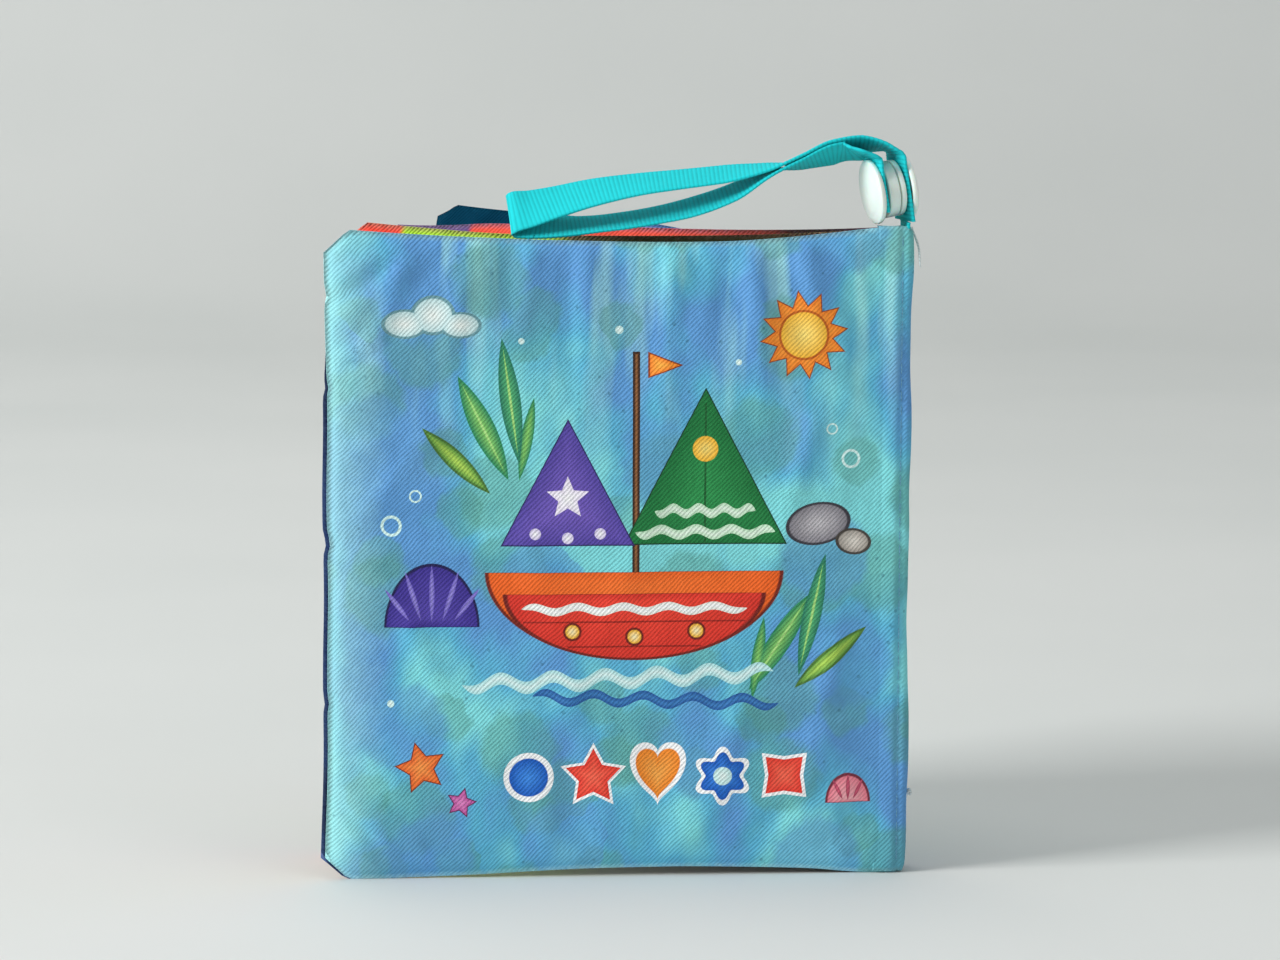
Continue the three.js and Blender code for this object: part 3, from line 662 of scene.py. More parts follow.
# Soft folds: place along the leaf from its root and height of the upper end, lean, width, length and rise
COVER_FOLDS = (
    (68.7, 119, 4, 1.8, 24, 1.5), (58.2, 119, 2, 1.9, 40, 1.5), (42.6, 119, 3, 1.8, 44, 1.5),
    (27.8, 119, -4, 2.2, 40, 1.4), (18.5, 119, -9, 1.7, 26, 1.0), (79, 119, 12, 1.9, 30, 1.1),
    (91, 118, 20, 2.0, 26, 1.0), (50, 119, -3, 1.4, 22, 0.8), (35, 119, 6, 1.4, 24, 0.8),
    (16, 86, 16, 2.2, 40, 1.0), (92, 50, -24, 2.4, 30, 0.9), (12, 44, 10, 2.2, 40, 1.0),
    (62, 36, -14, 2.6, 34, 0.7), (30, 32, 14, 2.6, 30, 0.9), (86, 84, 40, 2.4, 30, 0.8),
    (98, 100, 62, 1.8, 16, 1.0), (46, 70, 20, 3.0, 40, 0.5), (70, 66, -18, 3.0, 36, 0.5),
)
# Creases: place along the leaf and height of the middle, direction, width, length and depth
COVER_CREASES = (
    (101.6, 109.6, 146, 1.0, 15, 1.0), (99, 103, 128, 1.1, 16, 0.7), (103, 62.5, 172, 1.0, 10, 0.9),
    (104.5, 91, 165, 0.7, 5, 0.4), (101.5, 11, 40, 1.0, 10, 0.7), (104, 33, 12, 0.8, 6, 0.4),
    (97.5, 5.5, 62, 0.9, 8, 0.4), (8.5, 9, 100, 0.9, 12, 0.4), (60, 4, 24, 1.1, 14, 0.35),
    (24, 5.5, -16, 1.2, 14, 0.4), (40, 116, 95, 0.8, 9, 0.35), (73.5, 116, 84, 0.8, 9, 0.35),
    (9.5, 66, 96, 1.0, 22, 0.35), (9, 100, 82, 1.0, 20, 0.35),
)
# Distances from each leaf's root, and how far its top edge has settled there
TOP_SETTLE = (
    ((0, 6, 13, 20, 31, 42, 51, 65, 80, 95, 106), (-0.6, -0.5, -0.1, 0.3, 0.84, 0.8, 0.71, 0.36, 0.03, -0.2, -0.3)),
    ((0, 20, 32, 60, 77, 84, 92, 100, 106), (0, 0.25, 0.4, 0.75, 0.75, 0.5, 0.3, 0.15, 0.15)),
    ((0, 34, 64, 75, 82.5, 90, 98, 106), (0, 0.05, 0, 0.3, 0.55, 1.5, 2.1, 2.5)),
    ((0, 4, 12, 41, 45.6, 49.4, 55, 60, 70, 106), (0, 0.3, 1.6, 1.8, 1.4, 0.7, 0.2, -0.4, -0.3, 0)),
)
# Same for the lifted foot of the first leaf, and its fore edge's notches: height, half height and depth
FOOT_LIFT = ((0, 7, 14, 40, 58, 80, 106), (0, 0, 0.75, 1.05, 0.85, 0, 0))
NOTCHES = ((108.2, 1.3, 0.4), (91.5, 1.0, 0.3), (62.7, 1.5, 0.55), (33, 1.2, 0.3))


def fold_relief(d, h, folds, creases):
    """Rise of the soft folds less the depth of the creases."""
    relief = np.zeros_like(d)
    for place, top, lean, width, length, rise in folds:
        fallen = top - h
        offset = d - place - math.tan(math.radians(lean)) * fallen
        window = np.clip(1 - fallen / length, 0, 1) * np.clip((fallen + 1.5) / 3, 0, 1)
        relief = relief + rise * window * np.exp(-(offset / width) ** 2)
    for place, height, turn, width, length, depth in creases:
        c, s = math.cos(math.radians(turn)), math.sin(math.radians(turn))
        u = (d - place) * c + (h - height) * s
        v = (h - height) * c - (d - place) * s
        relief = relief - depth * np.exp(-(v / width) ** 2) * np.exp(-(2 * u / length) ** 2)
    return relief


def blurred(field, passes):
    """Repeated three-point mean in both directions of a grid."""
    for _ in range(passes):
        padded = np.pad(field, 1, mode="edge")
        field = (padded[:-2, 1:-1] + 2 * padded[1:-1, 1:-1] + padded[2:, 1:-1]) / 4
        padded = np.pad(field, 1, mode="edge")
        field = (padded[1:-1, :-2] + 2 * padded[1:-1, 1:-1] + padded[1:-1, 2:]) / 4
    return field


def simulated_wrinkles(d, h, rise):
    """Cloth simulation of a leaf sewn at its rim and filled; gives what it adds to each face."""
    edge = np.ones(d.shape, bool)
    edge[1:-1, 1:-1] = False
    front = np.arange(d.size).reshape(d.shape)
    back = front.copy()
    back[~edge] = d.size + np.arange(np.count_nonzero(~edge))
    lift = np.where(edge, 0, 0.3 + rise * 0.5)
    points = np.concatenate([np.stack([d, lift, h], -1).reshape(-1, 3), np.stack([d, -lift, h], -1)[~edge]])
    faces = np.concatenate([grid_quads(front)[:, ::-1], grid_quads(back)])
    item = plain_object("leaf_study", (points * SIM_SCALE).tolist(), faces.tolist())
    sewn = edge | (d <= ROOT_STRIP)
    item.vertex_groups.new(name="sewn").add(np.union1d(front[sewn], back[sewn]).tolist(), 1.0, "REPLACE")
    cloth = item.modifiers.new("puff", "CLOTH")
    for key, value in (
        ("quality", 5), ("mass", 0.3), ("tension_stiffness", 15), ("compression_stiffness", 15),
        ("shear_stiffness", 5), ("bending_stiffness", 0.35), ("air_damping", 2), ("use_pressure", True),
        ("uniform_pressure_force", 1.6), ("shrink_min", -0.022), ("vertex_group_mass", "sewn"),
    ):
        setattr(cloth.settings, key, value)
    cloth.settings.effector_weights.gravity = 0
    cloth.collision_settings.use_collision = False
    scene = bpy.context.scene
    span = scene.frame_start, scene.frame_end
    scene.frame_start, scene.frame_end = 1, SIM_FRAMES
    for step in range(1, SIM_FRAMES + 1):
        scene.frame_set(step)
    settled = item.evaluated_get(bpy.context.evaluated_depsgraph_get())
    found = np.zeros(points.size)
    settled.data.vertices.foreach_get("co", found)
    found = found.reshape(-1, 3)[:, 1] / SIM_SCALE
    scene.frame_set(1)
    scene.frame_start, scene.frame_end = span
    mesh = item.data
    bpy.data.objects.remove(item)
    bpy.data.meshes.remove(mesh)
    wrinkles = {}
    for side, index in ((1, front), (-1, back)):
        lift = side * found[index]
        wrinkles[side] = 0.5 * np.tanh((lift - blurred(lift, 40)) / 0.5)
    return wrinkles


def leaf_place(number, d, r, h):
    """Points of a leaf in the frame: distance from its root, distance to its back side, and height."""
    angle = FAN_SPREAD * number / (len(LEAF_NAMES) - 1)
    x = -math.cos(angle) * d - math.sin(angle) * r
    y = math.sin(angle) * d - math.cos(angle) * r + number * LEAF_PITCH
    return np.stack([x, y, h], -1) + BOOK_SHIFT


def leaf_face(number, side, h, rim, d, wrinkles):
    """Outer surface of one of a leaf's panels, as distances from the leaf's middle plane."""
    seed = 10 * number + side + 5
    seamed = np.clip(rim / SEAM_FADE, 0, 1)
    pucker = smooth_noise(d / 2.2, h / 2.2, seed) * 0.22 * np.exp(-np.maximum(rim, 0) / 4) * np.clip(rim, 0, 1)
    slow = smooth_noise(d / 8, h / 11, seed + 100) * 0.28 * np.clip(rim / 8, 0, 1)
    if (number, side) == (0, 1):
        relief = fold_relief(d, h, COVER_FOLDS, COVER_CREASES)
    else:
        moved = [(p + 9 * number * side, t, -lean, w, l, r * 0.45) for p, t, lean, w, l, r in COVER_FOLDS]
        relief = fold_relief(d, h, moved, COVER_CREASES[:4])
    free = np.clip((d - ROOT_STRIP + 1.5) / 5, 0, 1)
    swell = pillow_rise(d, h) + (relief * seamed + pucker + slow + wrinkles[side]) * free
    outside = (number, side) in ((0, 1), (3, -1))
    if outside:
        # Beside the spine the face rises to run on evenly from the spine cloth
        step = np.clip((d - 1.3) / 1.8, 0, 1)
        shoulder = 0.6 * step * step * (3 - 2 * step) * seamed
        swell = (np.maximum(swell, 0) ** 4 + shoulder ** 4) ** 0.25 + np.minimum(swell, 0)
    half = SEAM_HALF + (LEAF_HALF - SEAM_HALF) * np.sqrt(1 - (1 - np.clip(rim / SEAM_ROUND, 0, 1)) ** 2)
    # An inner face keeps room for its leaf to close by 8 degrees on the next one
    room, growth = (1.7, 0.13) if outside else (0.7, 0.038)
    limit = np.minimum(LEAF_HALF + CROWN + room, ROOT_LIMIT + growth * d)
    return np.minimum(half + np.maximum(swell, -DIP_LIMIT), limit)


def settled_outline(number, x, h, d):
    """Outline of a leaf as it has settled: notches at the fore edge, a sagging top and a lifted foot."""
    notch = sum(deep * np.exp(-((h - place) / tall) ** 2) for place, tall, deep in NOTCHES)
    wander = smooth_noise(h / 6.5, np.full_like(h, number * 3.0), 300 + number) * 0.28
    x = x - (d / LEAF_LENGTH) ** 9 * (notch + wander * np.clip(h / 8, 0, 1))
    tip = np.clip((d - 80) / 26, 0, 1)
    h = h - blurred(np.interp(d, *TOP_SETTLE[number]), 6) * np.clip((h - 96) / 24, 0, 1)
    if number == 0:
        h = h + blurred(np.interp(d, *FOOT_LIFT), 8) * np.clip((22 - h) / 22, 0, 1)
    if number in (1, 2):
        x = x - 1.8 * np.clip((h - 108) / 11, 0, 1) ** 2 * tip
    if number == 3:
        x = x - 2.6 * np.clip((h - 100) / 18, 0, 1) ** 2 * tip
        h = h + 0.4 * corner_loss(d) * np.clip((h - 106) / 9, 0, 1)
    return x, h


# Settings

number_property = bpy.props.FloatProperty
length_property = partial(number_property, min=0.0001, unit="LENGTH")
angle_property = partial(number_property, subtype="ANGLE")
colour_property = partial(bpy.props.FloatVectorProperty, size=3, min=0, max=1, subtype="COLOR")


class LeafSettings(bpy.types.PropertyGroup):
    """Sizes of the leaves' cloth and filling"""
    cloth_thickness: length_property(
        name="Cloth thickness", description="Thickness of one printed panel, in metres", default=0.00035)
    fill: number_property(
        name="Fill", description="How full the wadding is, from slack to tight",
        default=0.35, min=0.0, max=1.0, subtype="FACTOR")


class SpineSettings(bpy.types.PropertyGroup):
    """Sizes and colour of the spine"""
    cloth_thickness: length_property(
        name="Cloth thickness", description="Thickness of the spine cloth, in metres", default=0.0005)
    stitch_length: length_property(
        name="Stitch length", description="Length of one stitch beside the spine, in metres",
        default=0.0026, min=0.001)
    thread_colour: colour_property(
        name="Thread colour", description="Colour of the sewing thread", default=linear("#6FAFD0")[:3])


class RibbonSettings(bpy.types.PropertyGroup):
    """Sizes and colour of the ribbon strap"""
    thickness: length_property(
        name="Thickness", description="Thickness of the ribbon between its ribs, in metres", default=0.00045)
    rib_pitch: length_property(
        name="Rib pitch", description="Distance between the cross ribs of the ribbon, in metres",
        default=0.0008, min=0.0002)
    colour: colour_property(
        name="Colour", description="Colour of the ribbon on its ribs", default=linear("#22D3D9")[:3])


class SnapSettings(bpy.types.PropertyGroup):
    """Colour and fineness of the press stud"""
    colour: colour_property(
        name="Colour", description="Colour of the press stud's plastic", default=linear("#F2FFF6")[:3])
    segments: bpy.props.IntProperty(
        name="Segments", description="Number of faces round each turned piece", default=72, min=24)


class StageSettings(bpy.types.PropertyGroup):
    """Camera and light"""
    lens: number_property(
        name="Lens", description="Focal length of the camera", default=140.6, min=20, unit="CAMERA")
    yaw: angle_property(name="Yaw", description="Turn of the camera to its right", default=math.radians(5.05))
    pitch: angle_property(name="Pitch", description="Tilt of the camera downwards", default=math.radians(7.05))
    roll: angle_property(name="Roll", description="Roll of the camera", default=math.radians(0.28))
    light: number_property(name="Light", description="Share of full strength of the lamps", default=1.0, min=0.0)


class ClothBookSettings(bpy.types.PropertyGroup):
    """All settings of the cloth book"""
    leaves: bpy.props.PointerProperty(type=LeafSettings)
    spine: bpy.props.PointerProperty(type=SpineSettings)
    ribbon: bpy.props.PointerProperty(type=RibbonSettings)
    snap: bpy.props.PointerProperty(type=SnapSettings)
    stage: bpy.props.PointerProperty(type=StageSettings)


# Stage

def make_floor():
    """Pale floor that curves up into a backdrop."""
    bend, steps = 0.5, 12
    profile = [(-6.0, 0.0), (-1.6, 0.0), (1.0, 0.0)]
    for turn in np.linspace(0, math.pi / 2, steps + 1)[1:]:
        profile.append((1.0 + bend * math.sin(turn), bend * (1 - math.cos(turn))))
    profile.append((1.0 + bend, 2.4))
    across = np.linspace(-2.6, 2.6, 9)
    points = [(x, y, z) for x in across for y, z in profile]
    index = np.arange(len(points)).reshape(len(across), len(profile))
    floor = plain_object("floor", points, grid_quads(index).tolist())
    # Painted plaster: pale and quite matt, with faint broad clouds of tone
    material, add = new_material("floor_painted_plaster", Roughness=0.7, IOR=1.5)
    cloud = add("TexNoise", add("TexCoord", out="Object"), Scale=3.0, Detail=3.0)
    add("ValToRGB", cloud, stops=[(0.35, "#DADDDA"), (0.65, "#E1E3E0")], to="Base Color")
    floor.data.materials.append(material)


def make_lamps(level):
    """Large soft lamps: one at the upper left, a weaker one at the right, one above, and a pale room."""
    scene = bpy.context.scene
    for name, place, size, power in (
        ("lamp_left", (-1.75, -0.6, 0.9), 0.8, 37.0),
        ("lamp_right", (1.2, -1.4, 0.8), 1.2, 4.5),
        ("lamp_top", (-0.3, 0.2, 1.6), 1.2, 9.0),
    ):
        data = bpy.data.lights.new(name, "AREA")
        data.size, data.energy = size, power * level
        lamp = bpy.data.objects.new(name, data)
        scene.collection.objects.link(lamp)
        lamp.location = place
        lamp.rotation_mode = "QUATERNION"
        lamp.rotation_quaternion = (Vector(place) - Vector((0, 0, 0.06))).to_track_quat("Z", "Y")
    scene.world = scene.world or bpy.data.worlds.new("room")
    scene.world.use_nodes = True
    background = scene.world.node_tree.nodes["Background"]
    background.inputs["Color"].default_value = linear("#EDF1F4")
    background.inputs["Strength"].default_value = 0.27 * level
    scene.view_settings.view_transform = "Standard"


class CLOTHBOOK_OT_stage(bpy.types.Operator):
    """Make the floor, the lamps and the camera"""
    bl_idname = "clothbook.stage"
    bl_label = "Stage"

    def execute(self, context):
        stage = context.scene.cloth_book.stage
        make_floor()
        make_lamps(stage.light)
        yaw, pitch, roll = stage.yaw, stage.pitch, stage.roll
        forward = Vector((math.sin(yaw) * math.cos(pitch), math.cos(yaw) * math.cos(pitch), -math.sin(pitch)))
        right = Vector((math.cos(yaw), -math.sin(yaw), 0))
        across = right * math.cos(roll) + right.cross(forward) * math.sin(roll)
        data = bpy.data.cameras.new("camera")
        data.lens, data.sensor_width = stage.lens, 36.0
        camera = bpy.data.objects.new("camera", data)
        context.scene.collection.objects.link(camera)
        axes = Matrix((across, across.cross(forward), -forward)).transposed().to_4x4()
        camera.matrix_world = Matrix.Translation(CAMERA_PLACE) @ axes
        context.scene.camera = camera
        return {"FINISHED"}


# Leaves

def wadding_material():
    """Polyester wadding, carded and needled: matt, off-white, with a tangle of fine fibres."""
    material, add = new_material("needled_polyester_wadding", Roughness=0.95, IOR=1.5, Sheen_Weight=0.5)
    fibre = add("TexNoise", add("TexCoord", out="Object"), Scale=900.0, Detail=6.0, Distortion=2.0)
    add("ValToRGB", fibre, stops=[(0.3, "#DAD6CC"), (0.7, "#F6F4EE")], to="Base Color")
    add("Bump", Strength=0.8, Distance=0.0003, Height=fibre, to="Normal")
    return material


def film_material():
    """Polyester film, drawn thin and crumpled: glossy, clear grey, with sharp small creases."""
    material, add = new_material("crumpled_polyester_film", Roughness=0.18, IOR=1.57, Alpha=0.85)
    crease = add("TexVoronoi", add("TexCoord", out="Object"), Scale=260.0, feature="DISTANCE_TO_EDGE",
                 out="Distance")
    add("ValToRGB", crease, stops=[(0.0, "#FFFFFF"), (0.12, "#DCE4E8")], to="Base Color")
    add("Bump", Strength=0.7, Distance=0.0003, Height=crease, to="Normal")
    return material


def fill_piece(name, number, start, thickness, waviness, wave, material, slot):
    """Layer inside a leaf, with round corners, a thin rim and a slightly wavy lie."""
    left, right = ROOT_STRIP + FILL_INSET, LEAF_LENGTH - FILL_INSET
    low, high = BOTTOM_DRAW + FILL_INSET, LEAF_HEIGHT - TOP_DRAW - FILL_INSET
    u, v = np.meshgrid(np.linspace(-1, 1, 49), np.linspace(-1, 1, 57), indexing="ij")
    # Pulls the corners of the square grid in, so that the outline has round corners
    squeeze = 1 - 0.045 * (np.abs(u) * np.abs(v)) ** 7
    d = (left + right) / 2 + (right - left) / 2 * u * squeeze
    h = (low + high) / 2 + (high - low) / 2 * v * squeeze
    swell = np.sqrt(np.clip(1 - np.maximum(np.abs(u), np.abs(v)) ** 10, 0, 1))
    middle = start + thickness / 2 + waviness * smooth_noise(d / wave, h / wave, 40 + number)
    half = THIN_RIM + (thickness / 2 - THIN_RIM) * swell
    return shell(name, leaf_place(number, d, middle + half, h), leaf_place(number, d, middle - half, h),
                 np.stack([d, h], -1), material, slot)


def make_panel(number, side, thickness, wrinkles):
    """One printed panel: an outer face, an inner face and the turned rim that meets the other panel's."""
    x, h, rim, d = leaf_grid()
    outer = leaf_face(number, side, h, rim, d, wrinkles)
    x, h = settled_outline(number, x, h, d)
    if (number, side) == (0, -1):
        # The lining rolls out past the fore edge of the back cover, below its upper corner
        x = x + 0.8 * (d / LEAF_LENGTH) ** 14 * np.clip((98 - h) / 9, 0, 1)
    name = LEAF_NAMES[number]
    label = "back" if side > 0 else "front"
    slot, *looks = PRINTS[f"{name}_{label}"]
    cloth = printed_twill(f"printed_polyester_twill_{name}_{label}", *looks,
                          gloss=0.02 if slot == "cover_lining" else 0.3)
    inner = np.maximum(outer - thickness, 0.05)
    piece = shell(f"{name}_panel_{label}", leaf_place(number, x, side * outer, h),
                  leaf_place(number, x, side * inner, h),
                  np.stack([LEAF_LENGTH - d if side > 0 else d, h], -1), cloth, slot, rim)
    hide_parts(f"{name}_cloth_{label}")
    return piece


class CLOTHBOOK_OT_leaves(bpy.types.Operator):
    """Make the printed panels of the four leaves, with the wadding and film inside them"""
    bl_idname = "clothbook.leaves"
    bl_label = "Leaves"

    def execute(self, context):
        settings = context.scene.cloth_book.leaves
        wadding, film = wadding_material(), film_material()
        _, h, _, d = leaf_grid()
        # All four leaves are cut and filled alike, so one simulation serves them
        wrinkles = simulated_wrinkles(d, h, pillow_rise(d, h))
        for number, (name, body) in enumerate(zip(LEAF_NAMES, LEAF_BODIES)):
            pad = fill_piece(f"{name}_wadding_pad", number, -0.8, 0.98, 0.05, 3.2, wadding, "wadding")
            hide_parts(f"{name}_wadding")
            sheet = fill_piece(f"{name}_film_sheet", number, 0.6, 0.07, 0.11, 1.5, film, "crinkle_film")
            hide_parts(f"{name}_crinkle_film")
            panels = [make_panel(number, side, settings.cloth_thickness / MM, wrinkles) for side in (1, -1)]
            for piece in (pad, sheet, *panels):
                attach(piece, body)
        return {"FINISHED"}


# Spine

def wrap_path():
    """Middle line of the spine cloth in plan, from the near arm round the roots to the far arm."""
    arm = LEAF_HALF + 0.55
    turn = math.pi / 2 - FAN_SPREAD
    centre = WRAP_REACH - WRAP_CORNER
    far_root = LEAF_PITCH * 3
    far_centre = far_root + (arm - WRAP_CORNER - centre * math.cos(turn)) / math.sin(turn)
    near_centre = WRAP_CORNER - arm
    points = [(x, -arm) for x in np.linspace(-WRAP_ARM, centre, 14)]
    points += [(centre + WRAP_CORNER * math.cos(t), near_centre + WRAP_CORNER * math.sin(t))
               for t in np.linspace(-math.pi / 2, 0, 8)[1:]]
    points += [(WRAP_REACH, y) for y in np.linspace(near_centre, far_centre, 20)[1:]]
    points += [(centre + WRAP_CORNER * math.cos(t), far_centre + WRAP_CORNER * math.sin(t))
               for t in np.linspace(0, turn, 7)[1:]]
    start = np.array(points[-1])
    end = np.array([arm * math.cos(turn) - WRAP_ARM * math.sin(turn),
                    far_root + arm * math.sin(turn) + WRAP_ARM * math.cos(turn)])
    return np.array(points + [start + (end - start) * t for t in np.linspace(0, 1, 14)[1:]])


def resampled(points, step):
    """Points at even steps along a line, and how far along it they are."""
    lengths = np.concatenate([[0], np.cumsum(np.linalg.norm(np.diff(points, axis=0), axis=1))])
    at = np.linspace(0, lengths[-1], max(2, int(round(lengths[-1] / step)) + 1))
    return np.stack([np.interp(at, lengths, column) for column in np.transpose(points)], -1), at


def upright_strip(name, line, z, offsets, s, rim, material, slot):
    """Strip of cloth on edge along a line in plan, between two distances from the line."""
    along = unit(np.gradient(line, axis=0))
    sideways = np.stack([along[:, 1], -along[:, 0]], -1)[:, None, :]
    grids = [np.concatenate([line[:, None, :] + sideways * np.broadcast_to(offset, z.shape)[:, :, None],
                             z[:, :, None]], -1) for offset in offsets]
    piece = shell(name, *grids, np.stack([s, z], -1), material, slot, rim)
    # A strip narrower than a sheet may be is declared by its area
    return piece


def spine_part(name, line, at, total, thickness, cloth):
    """Strip of spine cloth over its height, with the puckers that its sewing leaves."""
    heights = np.linspace(0.3, LEAF_HEIGHT + 0.45, 110)
    s = at[:, None] * np.ones((1, len(heights)))
    # Its top stands highest at the back cover, and leaves room for the press stud beyond it
    z = heights - 0.7 * np.clip((s - 6) / 3, 0, 1) * np.clip((heights - 112) / 8, 0, 1)
    # The cloth stands out a little over the roots, and runs into the faces of the covers at its two hems
    side = np.minimum(s, total - s)
    # Widths of the hem and of the flat beside it, and the sewn row's place and its puckers' pitch
    hem, belly, row, pitch = 3.2, 3.6, 4.4, 2.6
    wave = smooth_noise(z / 6.5, s / 30, 61) * 0.3 + smooth_noise(z / 2.6, s / 9, 62) * 0.12
    lift = np.clip((side - belly) / 2.0, 0, 1) * (wave - 0.42)
    lift = lift - 0.3 * np.exp(-((side - row) / 0.6) ** 2) * (0.75 + 0.25 * np.cos(2 * math.pi * z / pitch))
    lift = lift - 0.5 * (np.exp(-((z[:, -1:] - z) / 0.9) ** 2) + np.exp(-((z - heights[0]) / 0.9) ** 2))
    face = lift + thickness / 2 - 0.34 * np.clip(1 - side / hem, 0, 1) ** 1.4
    rim = np.minimum(z - heights[0], z[:, -1:] - z) + 0.25
    return upright_strip(name, line + BOOK_SHIFT[:2], z, (face, face - thickness * np.clip(side / 1.9, 0.2, 1)),
                         LEAF_LENGTH - WRAP_ARM + s, rim, cloth, "spine_cloth")


PLEATS = (
    ("root_pleat_near", "#22315F #2B3F7B #33508F #4A68A8 #16224A", "back_cover", "back_page"),
    ("root_pleat_middle", "#9AD42A #B0E238 #C2EA4C #D8F27A #6FA41E", "back_page", "spine"),
    ("root_pleat_far", "#E98AA2 #F09AAE #F5AEBB #FFC9D2 #C85A7C", "spine", "front_cover"),
)


def make_pleat(number, name, tones, one, other):
    """Strip folded in a U between two leaves at their roots, where the leaves are sewn together."""
    skin = np.full(3, LEAF_HALF + 0.2)
    steps = np.array([3.2, 1.6, 0.4])
    near = leaf_place(number, steps, -skin, np.zeros(3))
    far = leaf_place(number + 1, steps[::-1], skin, np.zeros(3))
    middle = (near[-1] + far[0]) / 2 + np.array([0.75, 0, 0])
    line = np.concatenate([near[:1], near, [middle], far, far[-1:]])[:, :2]
    smooth = [line[0]]
    for a, b, c, e in zip(line, line[1:], line[2:], line[3:]):
        smooth += [0.5 * (2 * b + (c - a) * t + (2 * a - 5 * b + 4 * c - e) * t ** 2
                          + (3 * b - 3 * c + e - a) * t ** 3) for t in np.linspace(0, 1, 7)[1:]]
    line, at = resampled(np.array(smooth), 0.3)
    heights = np.linspace(PLEAT_FOOT, PLEAT_FOOT + PLEAT_TALL, 60)
    s = at[:, None] * np.ones((1, len(heights)))
    z = heights * np.ones((len(line), 1))
    ripple = 0.06 * smooth_noise(heights / 5, np.zeros(1), 70 + number)
    rim = np.minimum(z - heights[0], heights[-1] - z) + 0.3
    ground = partial(mottled_ground, tones=tones, patch=tones.split()[1])
    cloth = printed_twill(f"dyed_polyester_twill_{name}", ground, [], "#E8E4DA")
    piece = upright_strip(name, line, z, (PLEAT_HALF + ripple, ripple - PLEAT_HALF), s, rim, cloth, "page_cloth")
    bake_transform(piece)


class CLOTHBOOK_OT_spine(bpy.types.Operator):
    """Make the cloth round the spine in three parts, and the pleats between the leaves"""
    bl_idname = "clothbook.spine"
    bl_label = "Spine"

    def execute(self, context):
        thickness = context.scene.cloth_book.spine.cloth_thickness / MM
        line, at = resampled(wrap_path(), 0.35)
        cloth = printed_twill("printed_polyester_twill_spine", SEA, [], PRINTS["back_cover_back"][-1])
        near_end, middle_end = [int(np.argmax((line[:, 1] > y) & (line[:, 0] > 1.5))) for y in WRAP_SPLITS]
        for name, first, last, one, other, start, end in (
            ("spine_cloth_near", 0, near_end, "back_cover", "back_page", (-1.5, -1.2), (2.0, 1.0)),
            ("spine_cloth_middle", near_end, middle_end, "back_page", "spine", (2.0, 1.5), (2.0, 4.4)),
            ("spine_cloth_far", middle_end, len(line) - 1, "spine", "front_cover", (2.2, 5.6), (0.2, 9.8)),
        ):
            piece = spine_part(name, line[first:last + 1], at[first:last + 1], at[-1], thickness, cloth)
            if name != "spine_cloth_near":
                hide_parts("spine_wrap")
            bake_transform(piece)
        for number, pleat in enumerate(PLEATS):
            make_pleat(number, *pleat)
        return {"FINISHED"}


# Ribbon

def catmull_rom(points, t):
    """Point on a centripetal Catmull-Rom curve through the points, at a share of its segments."""
    points = np.asarray(points, float)
    last = len(points) - 1
    i = min(int(last * t), last - 1)
    w = last * t - i
    p1, p2 = points[i], points[i + 1]
    p0 = points[i - 1] if i > 0 else 2 * points[0] - points[1]
    p3 = points[i + 2] if i + 1 < last else 2 * points[-1] - points[-2]
    d0, d1, d2 = (max(float(np.dot(b - a, b - a)) ** 0.25, 1e-4) for a, b in ((p0, p1), (p1, p2), (p2, p3)))
    t1 = ((p1 - p0) / d0 - (p2 - p0) / (d0 + d1) + (p2 - p1) / d1) * d1
    t2 = ((p2 - p1) / d1 - (p3 - p1) / (d1 + d2) + (p3 - p2) / d2) * d1
    return p1 + t1 * w + (-3 * p1 + 3 * p2 - 2 * t1 - t2) * w ** 2 + (2 * p1 - 2 * p2 + t1 + t2) * w ** 3


def strap_place(reach, rise, drift, roll):
    """Middle of the strap and the direction across it, from the shares that the tables give."""
    middle = STRAP_HINGE + np.array([-reach * STRAP_REACH, drift * RIBBON_WIDTH, rise * STRAP_RISE])
    roll = math.radians(roll)
    return middle, np.array([-math.sin(STUD_TURN) * drift, math.cos(roll), math.sin(roll)])


def clamp_place(centre, reach, lean=0.0):
    """Middle of the strap and the direction across it, up from the middle of its post's hole."""
    return centre + reach * STUD_UP + lean * STUD_AXIS, STUD_ACROSS


